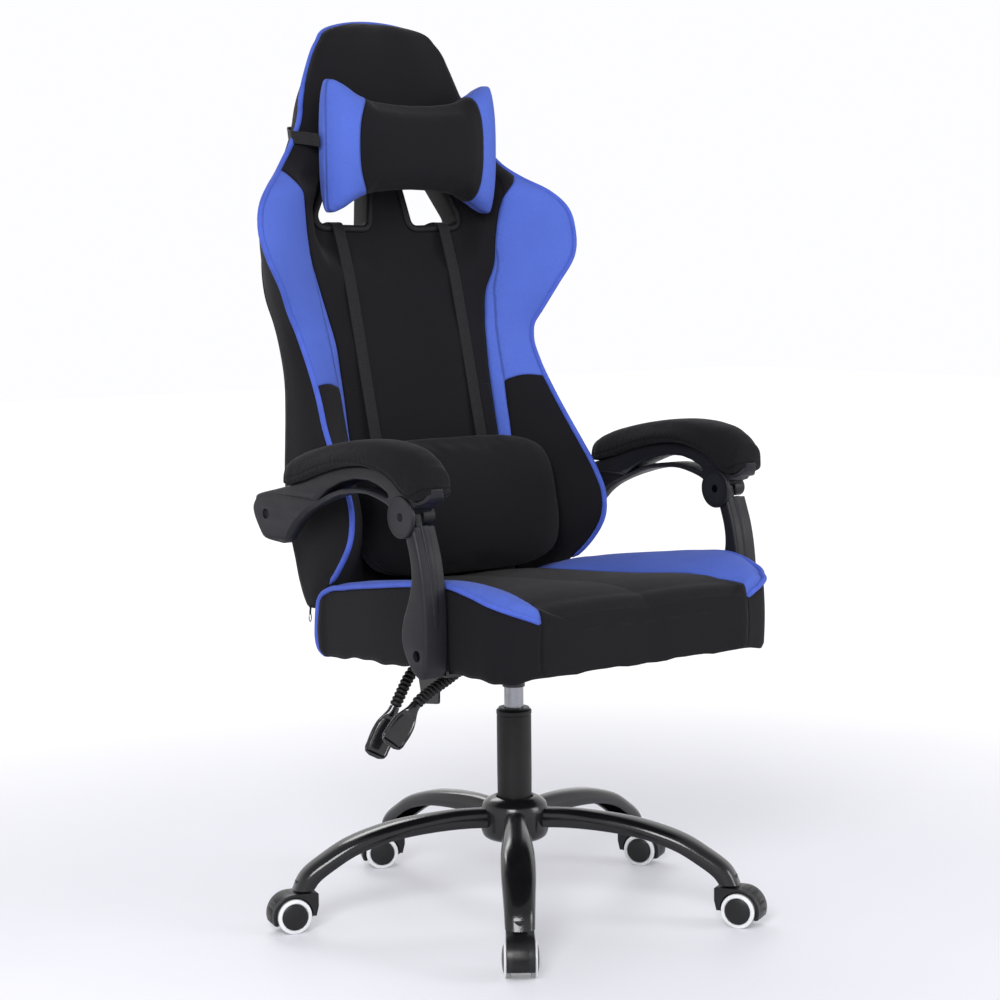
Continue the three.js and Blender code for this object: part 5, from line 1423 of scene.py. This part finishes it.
@dataclass(frozen=True)
class Armrest:
    """One armrest: a curved post, a moulded arm on the post's tongue and an upholstered pad.

    Attributes:
        side: -1 for the sitter's right in view's left, 1 for the other; both arms are the same moulding.
        half: Half the width of the rail at its front.
        barrel: Radius of the knuckle's barrel.
        disc: Radius of the flat disc that closes the knuckle.
        tongue: Half the thickness of the post's tongue.
        post_half: Half the width of the post.
        eye: Radius of the tongue's eye.
        recess: Radius of the hole that the post's bolt sits in.
        swell: Furthest that the pad swells.
        top, under, lip, slot: Outlines of the rail in (y, z).
        post_front, post_rear: The post's two edges in (y, z).
        pad_sections: y, half width and crown height along the pad.
    """

    side: int
    half: float = 22.0
    barrel: float = 12.5
    disc: float = 28.0
    tongue: float = 5.3
    post_half: float = 19.2
    eye: float = 9.0
    recess: float = 7.6
    swell: float = 3.0
    top: Table = (
        (-178, 624), (-169, 628), (-160, 634.5), (-147, 645.5), (-132, 653.5), (-112, 660),
        (-86, 664.5), (-60, 665.5), (-28, 663), (4, 657.5), (38, 649), (72, 638.5), (110, 629.5),
        (150, 621), (205, 609.5),
    )
    under: Table = (
        (213, 602), (220, 592), (219, 582), (213, 571), (198, 553), (188, 547), (170, 543),
        (150, 543.5), (134, 559), (112, 579), (89, 593), (61, 604.5), (34, 613.5), (4, 621.5),
        (-30, 626.5), (-56, 628.4), (-78, 626.5), (-106, 620), (-122, 613),
    )
    lip: Table = (
        (-196.5, 643), (-193, 634), (-187, 628.5), (-179, 626), (-170, 628.5), (-160, 635),
        (-150, 642), (-150, 637), (-160, 629), (-170, 623.5), (-180, 621.5), (-189, 624),
        (-196.5, 631), (-200, 643),
    )
    slot: Table = (
        (60, 610.5), (48, 616.5), (24, 629), (-9, 640.5), (-41, 646.5), (-73, 646.5), (-94, 642),
        (-115, 633.5), (-119, 628), (-113, 627.5), (-91, 632), (-66, 634.9), (-41, 635), (-8, 631.5),
        (25, 622.8),
    )
    post_front: Table = (
        (-168, 592), (-182, 552), (-190, 510), (-193, 465), (-192, 415), (-187, 398),
    )
    post_rear: Table = (
        (-178, 393), (-165, 400), (-152, 414), (-143, 430), (-139, 447), (-143, 468), (-155, 496),
        (-162, 522), (-160, 548), (-151, 576), (-146, 589),
    )
    pad_sections: Table = (
        (-197, 9, 648), (-194, 20, 660), (-184, 29, 673), (-163, 34, 687), (-130, 37, 695),
        (-90, 38, 698), (-45, 37, 696), (0, 36, 690.5), (50, 34, 681.5), (90, 32, 671.5),
        (112, 30, 662.5), (124, 24, 654), (129, 13, 645),
    )

    @property
    def name(self) -> str:
        """Which arm it is."""
        return SIDE[self.side]

    @property
    def middle(self) -> float:
        """X of the arm's middle plane."""
        return float(joint_mm(f"armrest_{self.name}")[0])

    @property
    def knuckle(self) -> Array:
        """Depth and height of the pivot between the post and the arm."""
        return joint_mm(f"armrest_{self.name}")[1:]

    @property
    def bolt(self) -> Array:
        """Depth and height of the bolt at the foot of the post."""
        return joint_mm(f"post_{self.name}")[1:]

    def rail(self) -> bpy.types.Object:
        """The arched rail with its slot: rounded in plan at its nose, narrower towards the rear boss."""
        y, z = self.knuckle
        neck = [(y + 12, z - 2), (y - 9, z + 4), (y - 14, z + 10), (y - 24, z + 13)]
        outline = rounded([*self.top, *self.under, *neck], 170)
        hole = filleted(self.slot, 5, 3, closed=True)[::-1]
        rail = plate("rail", [outline, hole], -self.half, self.half, 4.0)
        lip = plate("lip", [filleted(self.lip, 3, 4, closed=True)], -self.half, self.half, 1.3)
        rail = joined("rail", [rail, lip])
        points = read_points(rail.data)
        width = np.interp(points[:, 1], [-60, 60, 150, 213], [1.0, 0.98, 0.84, 0.74])
        width *= np.sqrt(1 - np.clip((-164 - points[:, 1]) / 36.8, 0, 0.98) ** 2)
        belly = np.array(self.under[7:], float)[::-1]
        above = points[:, 2] - np.interp(points[:, 1], belly[:, 0], belly[:, 1])
        thin = 0.62 * (1 - ease(above, 0, 13)) * ease(points[:, 1], -30, 70)
        width *= 1 - thin * (1 - ease(points[:, 1], 165, 195))
        points[:, 0] *= width
        write_points(rail.data, points)
        return rail

    def frame(self) -> bpy.types.Object:
        """The whole moulding: rail, knuckle barrel either side of the tongue, disc, and rear boss."""
        gap, wide = self.tongue + 0.7, self.half + 3
        knuckle = tuple(self.knuckle)
        disc = [(0, 1), (self.disc - 5, 0.4), (self.disc - 1.5, 0), (self.disc, 1.4), (self.disc, 6), (0, 6)]
        disc = [(radius, wide - x) for radius, x in disc]
        parts = [self.rail(), shell("disc", wheeled(disc, -1, knuckle, 0.9, 72))]
        for start, end in ((-wide + 5, -gap), (gap, wide)):
            bar = [(0, start), (self.barrel - 1, start), (self.barrel, start + 1), (self.barrel, end - 1)]
            parts.append(shell("barrel", wheeled(bar + [(self.barrel - 1, end), (0, end)], 1, knuckle, 0.3)))
        turn = np.radians(np.linspace(-22, 215, 34))
        bow = np.stack([-np.cos(turn), np.sin(turn)], -1)
        cover = np.concatenate([bow * (self.barrel - 0.1), bow[::-1] * (self.eye + 0.7)]) + knuckle
        parts.append(plate("cover", [cover], -gap - 0.6, gap + 0.6, 0.2))
        cheek = np.array([[8, -12], [-11, -9], [-12, 8], [-8, 26], [12, 24]]) + knuckle
        parts.append(plate("cheek", [filleted(cheek, 7, 5, closed=True)], gap + 9, wide - 2, 2.0))
        web = np.array([[16, -20], [-6, -22], [-16, -2], [-12, 24], [-2, 38], [30, 26], [24, 0]]) + knuckle
        parts.append(plate("web", [filleted(web, 9, 5, closed=True)], -wide + 4.2, -wide + 12, 2.5))
        whole = joined(f"arm_rail_{self.name}", parts)
        points = read_points(whole.data)
        points[:, 0] += self.middle
        write_points(whole.data, points)
        pin = plug(-1, self.middle - wide, knuckle, 4.6, 3.0)
        rear = [plug(way, self.middle + way * 17.5, joint_rear(self.name), 7.0, 8.0) for way in (-1, 1)]
        return carve(settle(whole), [pin, *rear])

    def post(self) -> bpy.types.Object:
        """The curved post: a blade with softened edges, a tongue into the knuckle, and its bolt's recess."""
        outline = rounded(self.post_front + self.post_rear, 110)
        blade = plate("blade", [outline], -self.post_half, self.post_half, 5.0)
        y, z = self.knuckle
        r = self.eye
        tongue = [(y - 13, z - 26), (y - 9.5, z - 9), (y - r, z), (y - 0.7 * r, z + 0.7 * r), (y, z + r)]
        tongue += [(y + 0.7 * r, z + 0.7 * r), (y + r, z), (y + 4, z - 26)]
        flat = filleted(np.array(tongue), 4, 4, closed=True)
        parts = [blade, plate("tongue", [flat], -self.tongue, self.tongue, 1)]
        ridge = even(np.array(self.post_front[:5], float), 40)
        sunk = 3.4 * np.linspace(0, 1, 40) ** 1.4
        path = np.stack([0 * ridge[:, 0], ridge[:, 0] + 0.6 + sunk, ridge[:, 1]], -1)
        rings = swept(path, circle(20, 1.0, 0.7) * [3.0, 6.0], (1, 0, 0))
        parts.append(shell("ridge", closed_ends(rings, 1.0)))
        whole = joined(f"arm_leg_{self.name}", parts)
        points = read_points(whole.data)
        points[:, 0] += self.middle
        write_points(whole.data, points)
        face = self.middle + self.side * self.post_half
        return carve(settle(whole), [plug(self.side, face, self.bolt, self.recess, 7.6)])

    def pad(self, rows: int = 100, cols: int = 72) -> bpy.types.Object:
        """The upholstered pad: crowned sections along the arm, resting on the rail, with rounded ends."""
        table = np.array(self.pad_sections, float)
        share = (1 - np.cos(np.linspace(0, np.pi, rows))) / 2
        y = table[0, 0] + share * (table[-1, 0] - table[0, 0])
        _, half, crown = smooth(table[:, 0], table, y).T[:, :, None]
        rail = np.array(self.lip[1:5] + self.top[2:], float)
        seat = np.interp(y, rail[:, 0], rail[:, 1])[:, None] + 0.6
        turn = 2 * np.pi * (np.arange(cols) + 0.5) / cols
        c, s = np.cos(turn), np.sin(turn)
        low = seat + 6.0
        high = np.maximum(crown - low, 4.0)
        x = self.middle + half * np.sign(c) * np.abs(c) ** 0.8
        z = np.where(s > 0, low + high * np.abs(s) ** 0.86, low - 6.0 * np.abs(s) ** 0.5)
        points = np.stack([x, np.broadcast_to(y[:, None], x.shape), z], -1)
        marks = {"blue": 0 * x - 0.06, "crease": (z - low - 1.5) * MM}
        return grid(f"arm_cushion_{self.name}", points, wrap_cols=True, values=marks)

    def dress(self, dresser: "Dresser") -> None:
        """Builds the arm, its post and its pad."""
        dresser.wear(self.frame(), Finish.PLASTIC, f"armrest_{self.name}", [f"arm_frame_{self.name}"])
        dresser.wear(self.post(), Finish.PLASTIC, f"post_{self.name}", [f"arm_post_{self.name}"])
        pad = inflate(self.pad(), self.swell)
        dresser.wear(pad, Finish.COVER, f"armrest_{self.name}", [f"arm_pad_{self.name}"], 0.7)


def joint_rear(name: str) -> Array:
    """Depth and height of the bolt that joins an arm to the back."""
    low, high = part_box(f"rear_bolt_{name}")
    return ((np.array(low) + np.array(high)) / 2 - COLUMN)[1:] / MM


def shell(name: str, points: Array) -> bpy.types.Object:
    """A closed surface over rings of points, in millimetres about the origin, for joining into a piece."""
    obj = grid(name, points, wrap_cols=True, sharp=35)
    write_points(obj.data, (read_points(obj.data) - COLUMN / MM))
    return obj


def joined(name: str, parts: Sequence[bpy.types.Object]) -> bpy.types.Object:
    """Several shells as one piece, before it is settled in its place."""
    whole = bmesh.new()
    for part in parts:
        whole.from_mesh(part.data)
    mesh = bpy.data.meshes.new(name)
    whole.to_mesh(mesh)
    whole.free()
    obj = bpy.data.objects.new(name, mesh)
    bpy.context.scene.collection.objects.link(obj)
    obj["sharp"] = parts[0].get("sharp", 180.0)
    for part in parts:
        bpy.data.objects.remove(part)
    return obj


def plug(way: int, face: float, centre: Sequence[float], radius: float, depth: float) -> bpy.types.Object:
    """A closed round tool that cuts a blind hole along X, depth deep from a face that looks along way."""
    profile = [(0, -depth), (radius - 0.8, -depth), (radius, -depth + 0.8), (radius, 12), (0, 12)]
    points = wheeled(profile, way, centre, 0.2, 40)
    return grid("plug", points + [face, 0, 0], wrap_cols=True)


# ---------------------------------------------------------------- base, lift and casters


@dataclass(frozen=True)
class StarBase:
    """The five-legged base, with a caster under each leg.

    Attributes:
        sections: Distance out, height, slope in degrees, half width and half height along a leg.
        legs: How many legs it has.
    """

    sections: Table = (
        (30, 134, 2, 15.5, 17),
        (90, 136, 0, 17, 16.5),
        (150, 133, -7, 21, 15),
        (200, 125.5, -13, 23.5, 14),
        (245, 111.5, -23, 23.5, 14),
        (280, 92, -38, 22, 14.5),
        (303, 75.5, -57, 20.8, 15.5),
        (314, 59, -90, 20, 16),
    )
    legs: int = 5

    @property
    def table(self) -> Array:
        """The sections as an array."""
        return np.array(self.sections, float)

    def leg(self, number: int, angle: float) -> bpy.types.Object:
        """One leg: a pressed channel, crowned above and open below, that turns down at its end."""
        share = np.linspace(0, len(self.table) - 1, 70)
        out, z, slope, wide, high = smooth(np.arange(len(self.table)), self.table, share).T
        turn = np.linspace(-0.16, 1.16, 34) * np.pi
        c, s = np.cos(turn), np.sin(turn)
        outer = np.stack([np.sign(c) * np.abs(c) ** 0.75, np.sign(s) * np.abs(s) ** 0.8], -1)
        inner = outer[::-1] * 0.84
        loop = np.concatenate([outer, inner])
        tilt = np.radians(slope)[:, None]
        side = loop[None, :, 0] * wide[:, None]
        rise = loop[None, :, 1] * high[:, None]
        points = np.stack([out[:, None] - rise * np.sin(tilt), side, z[:, None] + rise * np.cos(tilt)], -1)
        return grid(f"star_leg_{number}", turned(points, angle), wrap_cols=True, sharp=50)

    def hub(self) -> bpy.types.Object:
        """The base's hub: a flared collar over the legs' roots with a rolled upper lip."""
        profile = [(26.4, 104), (38, 104), (46, 109), (49, 119), (49, 147), (46, 157), (37, 164), (29, 167)]
        profile += [(26.4, 165)]
        return grid("base_centre", lathe(profile, 4.0), wrap_cols=True, wrap_rows=True, sharp=50)

    def leg_socket(self, number: int) -> bpy.types.Object:
        """The bush inside a leg's turned-down end that takes the caster's stem."""
        profile = [(0, 60), (12, 60), (13, 61), (13, 71), (12, 72), (0, 72)]
        obj = shell(f"leg_bush_{number}", lathe(profile, 0.4, 40, False))
        write_points(obj.data, read_points(obj.data) + [*joint_mm(f"caster_swivel_{number}")[:2], 0])
        return settle(obj)

    def dress(self, dresser: Dresser) -> None:
        """Builds the legs with their bushes and casters, then the hub."""
        for number in range(1, self.legs + 1):
            foot = joint_mm(f"caster_swivel_{number}")
            angle = math.atan2(foot[1], foot[0])
            dresser.wear(self.leg(number, angle), Finish.PAINT, "base", [f"base_leg_{number}"])
            dresser.wear(self.leg_socket(number), Finish.CASTOR, "base")
            Caster(number).dress(dresser)
        dresser.wear(self.hub(), Finish.PAINT, "base", ["base_hub"])


@dataclass(frozen=True)
class GasLift:
    """The painted column, and the bright cylinder that slides in it.

    Attributes:
        radius: Radius of the column.
        bore: Radius of its hole.
        foot: Height of its lower end.
        top: Height of its upper end.
        cylinder: Radius of the cylinder.
    """

    radius: float = 25.0
    bore: float = 20.2
    foot: float = 105.0
    top: float = 293.0
    cylinder: float = 14.0

    def column(self) -> bpy.types.Object:
        """The column: a slight taper into the hub, a turned line under its rolled upper lip, and a bore."""
        r, top = self.radius, self.top
        profile = [(12, self.foot), (r - 1.2, self.foot), (r - 0.6, 150), (r - 0.1, 200), (r - 0.1, top - 9)]
        profile += [(r - 0.5, top - 8.4), (r - 0.5, top - 7.6), (r + 0.3, top - 6.8), (r + 0.5, top - 2)]
        profile += [(r - 1, top), (self.bore + 0.6, top), (self.bore, top - 1), (self.bore, 120), (12, 120)]
        return grid("lift_tube", lathe(profile, 0.5, 80), wrap_rows=True, wrap_cols=True, sharp=40)

    def rod(self) -> bpy.types.Object:
        """The bright cylinder."""
        low, high = (corner[2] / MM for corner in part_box("gas_cylinder"))
        r = self.cylinder
        profile = [(0, low), (r - 1, low), (r, low + 1), (r, high - 1), (r - 1, high), (0, high)]
        return grid("lift_cylinder", lathe(profile, 0.4, 64, False), wrap_cols=True, sharp=40)

    def dress(self, dresser: "Dresser") -> None:
        """Builds the lift."""
        dresser.wear(self.column(), Finish.COLUMN, "base", ["lift_column"])
        dresser.wear(self.rod(), Finish.CHROME, "seat", ["gas_cylinder"])


@dataclass(frozen=True)
class Caster:
    """One caster: a hood over two white-rimmed wheels with domed caps.

    Attributes:
        number: Which leg it stands under.
        inner: Inner face of a wheel from the caster's middle.
        rim: Outer face of the tread.
        cap: Radius of the domed cap.
        crown: Outermost point of the cap.
        hood: Radius of the hood.
        wall: Thickness of the hood over the wheels.
        half_width: Half the hood's width.
        neck: Height of the top of the collar under the leg.
    """

    number: int
    inner: float = 13.0
    rim: float = 20.4
    cap: float = 18.6
    crown: float = 25.0
    hood: float = 31.0
    wall: float = 4.4
    half_width: float = 19.0
    neck: float = 59.0

    @property
    def axle(self) -> Array:
        """The wheels' centre."""
        return joint_mm(f"wheel_spin_{self.number}_right")

    @property
    def trail(self) -> float:
        """How far the wheels trail behind the stem."""
        return float(np.linalg.norm((self.axle - joint_mm(f"caster_swivel_{self.number}"))[:2]))

    def place(self, obj: bpy.types.Object) -> bpy.types.Object:
        """Turns a piece made along the chair's axes, its stem on the origin, to where the caster rests."""
        foot = joint_mm(f"caster_swivel_{self.number}")
        along = JOINTS[f"wheel_spin_{self.number}_right"]["axis"]
        points = turned(read_points(obj.data), math.atan2(along[1], along[0]))
        write_points(obj.data, points + [foot[0], foot[1], 0])
        return settle(obj)

    def body(self) -> bpy.types.Object:
        """The hood: an arched roof over the wheels, the web between them, and the collar round the stem."""
        t, z, top = self.trail, float(self.axle[2]), float(self.axle[2]) + self.hood

        def arc(radius: float, start: float, end: float, count: int) -> Array:
            """Points of a circle about the axle, in (y, z)."""
            turn = np.radians(np.linspace(start, end, count))
            return np.stack([-t + radius * np.cos(turn), z + radius * np.sin(turn)], -1)

        front = np.array([[12, z - 2], [15.5, z + 12], [15.5, top - 2], [13.5, top]])
        over = arc(self.hood, 90, 200, 34)
        tail = np.array([[-t - 25, z - 12]])
        under = arc(self.hood - self.wall, 207, -4, 48)
        outline = np.concatenate([front, over, tail, under])
        roof = plate("roof", [outline], -self.half_width, self.half_width, 1.2)
        floor = np.array([[-t - 12, z - 14], [-t + 12, z - 14]])
        outline = np.concatenate([front, over, tail, floor])
        web = plate("web", [outline], -self.inner + 0.8, self.inner - 0.8, 1.0)
        profile = [(0, top - 3), (10.5, top - 3), (10.5, top - 0.5), (9.5, top + 0.4)]
        collar = lathe(profile + [(9.5, self.neck), (0, self.neck)])
        return self.place(joined(f"castor_hood_{self.number}", [roof, web, shell("collar", collar)]))

    def wheel(self, way: int) -> dict[str, bpy.types.Object]:
        """A wheel's tread band, white rim and domed cap, each turned about the axle."""
        z = float(self.axle[2])
        r, rim, cap = z, self.rim, self.cap
        tread = [(5, self.inner + 0.3), (r - 1.4, self.inner + 0.3), (r, self.inner + 1.5)]
        tread += [(r, rim - 1), (5, rim - 1)]
        ring = [(cap - 2, rim - 1.2), (r - 0.2, rim - 1.2), (r - 0.2, rim + 0.2), (r - 1.2, rim + 1.3)]
        ring += [(cap + 1.4, rim + 1.9), (cap + 0.7, rim + 1.2), (cap + 0.7, rim + 0.2), (cap - 2, rim + 0.2)]
        dome = [(0, rim), (cap, rim), (cap, rim + 1.6), (cap - 1.2, rim + 2.5), (cap * 0.72, rim + 3.5)]
        dome += [(cap * 0.4, self.crown - 0.3), (0, self.crown)]
        made = {}
        shapes = (("band", tread, 0.4, True), ("rim", ring, 0.35, True), ("cap", dome, 0.5, False))
        for key, profile, fillet, closed in shapes:
            rings = lathe(profile, fillet, 72, closed)
            points = np.stack([way * rings[..., 2], -self.trail + rings[..., 0], z + rings[..., 1]], -1)
            name = f"wheel_{key}_{self.number}_{SIDE[way]}"
            obj = grid(name, points, wrap_rows=closed, wrap_cols=True, sharp=40)
            write_points(obj.data, read_points(obj.data) - COLUMN / MM)
            made[key] = self.place(obj)
        return made

    def dress(self, dresser: "Dresser") -> None:
        """Builds the caster and its wheels."""
        dresser.wear(self.body(), Finish.CASTOR, f"caster_{self.number}", [f"caster_body_{self.number}"])
        for way, name in SIDE.items():
            parts = self.wheel(way)
            body = f"wheel_{self.number}_{name}"
            dresser.wear(parts["band"], Finish.TREAD, body, [f"caster_wheel_{self.number}_{name}"])
            dresser.wear(parts["rim"], Finish.WHITE, body)
            dresser.wear(parts["cap"], Finish.CASTOR, body)


@dataclass(frozen=True)
class Lever:
    """A lever under the seat: a corrugated sleeve on its rod, and a flat paddle with a raised rim.

    Attributes:
        name: Name of the lever's body.
        plane: Depth of the upright plane that its rod lies in.
        route: Points (x, z) of the rod, from the housing's wall outwards.
        sleeve: Radius over the sleeve's ridges.
        pitch: Distance between its ridges.
        length: Length of the paddle.
    """

    name: str
    plane: float
    route: tuple[tuple[float, float], ...]
    sleeve: float = 8.6
    pitch: float = 6.4
    length: float = 66.0

    def path(self, count: int = 400) -> Array:
        """The rod's middle line."""
        x, z = np.array(self.route).T
        return even(np.stack([x, 0 * x + self.plane, z], -1), count)

    def bellows(self) -> bpy.types.Object:
        """The sleeve: its radius swells and pinches once a pitch, with rounder crests than troughs."""
        path = self.path()
        length = np.concatenate([[0], np.cumsum(np.linalg.norm(np.diff(path, axis=0), axis=1))])
        start, end = 44.0, length[-1] - 17.5
        ridges = round((end - start) / self.pitch)
        share = np.linspace(0, 1, 10 * ridges + 1)
        at = start + (end - start) * share
        line = np.stack([np.interp(at, length, path[:, axis]) for axis in range(3)], -1)
        radius = self.sleeve - 2.2 + 2.2 * np.abs(np.sin(np.pi * ridges * share)) ** 0.7
        rings = swept(line, circle(24)[None] * radius[:, None, None], (0, 1, 0))
        return grid(f"{self.name}_bellows", closed_ends(rings), wrap_cols=True, sharp=80)

    def paddle(self, rows: int = 70, cols: int = 56) -> bpy.types.Object:
        """The paddle: a neck that widens to a rounded blade, whose front is sunk inside a raised rim."""
        path = self.path()
        along = unit(path[-1] - path[-12])
        start = path[-1] - 16 * along
        face = np.array([-0.5, -0.86, 0.0])
        face = unit(face - (face @ along) * along)
        across = np.cross(along, face)
        end = self.length
        d = end * (1 - np.cos(np.linspace(0, np.pi, rows))) / 2
        table = [(0, 7, 6.6), (8, 8, 6.4), (16, 11, 5.6), (26, 15, 5.0), (38, 17, 4.6), (end - 16, 17, 4.4)]
        table += [(end - 7, 16.2, 4.0), (end - 2.5, 13, 3.2), (end, 7, 1.4)]
        table = np.array(table)
        half, thick = smooth(table[:, 0], table[:, 1:], d).T[:, :, None]
        turn = 2 * np.pi * (np.arange(cols) + 0.5) / cols
        c, s = np.cos(turn), np.sin(turn)
        wide = half * np.sign(c) * np.abs(c) ** 0.85
        deep = thick * np.sign(s) * np.abs(s) ** 0.7
        inside = ease(half - np.abs(wide), 1.6, 3.6) * ease(d, 13, 22)[:, None]
        inside = inside * (1 - ease(d, end - 7, end - 3.5))[:, None]
        deep = deep - np.where(s > 0, 2.2 * inside, 0)
        points = start + d[:, None, None] * along + wide[..., None] * across + deep[..., None] * face
        return grid(f"{self.name}_paddle", points, wrap_cols=True, sharp=60)

    def dress(self, dresser: "Dresser") -> None:
        """Builds the lever's sleeve and paddle."""
        dresser.wear(self.bellows(), Finish.RUBBER, self.name, [f"{self.name}_sleeve"])
        dresser.wear(self.paddle(), Finish.GLOSS, self.name, [f"{self.name}_handle"])


LEVERS = (
    Lever(
        "height_lever",
        -40.0,
        ((-63.5, 386), (-100, 383), (-128, 369), (-150, 358), (-180, 344), (-203, 330), (-214, 318)),
        length=69.0,
    ),
    Lever(
        "recline_lever",
        30.0,
        ((-63.5, 380), (-112, 379), (-141, 373), (-162, 356), (-179, 331), (-189, 315), (-197, 301)),
        length=76.0,
    ),
)


# ---------------------------------------------------------------- putting it together


def main() -> None:
    """Makes the studio and the chair."""
    logging.basicConfig(level=logging.INFO, format="%(message)s")
    Studio().shoot()
    dresser = Dresser(make_materials())
    dresser.repaint_nodes()
    Seat().dress(dresser)
    Backrest().dress(dresser)
    for side in SIDE:
        Armrest(side).dress(dresser)
    StarBase().dress(dresser)
    GasLift().dress(dresser)
    for lever in LEVERS:
        lever.dress(dresser)


if __name__ == "__main__":
    main()
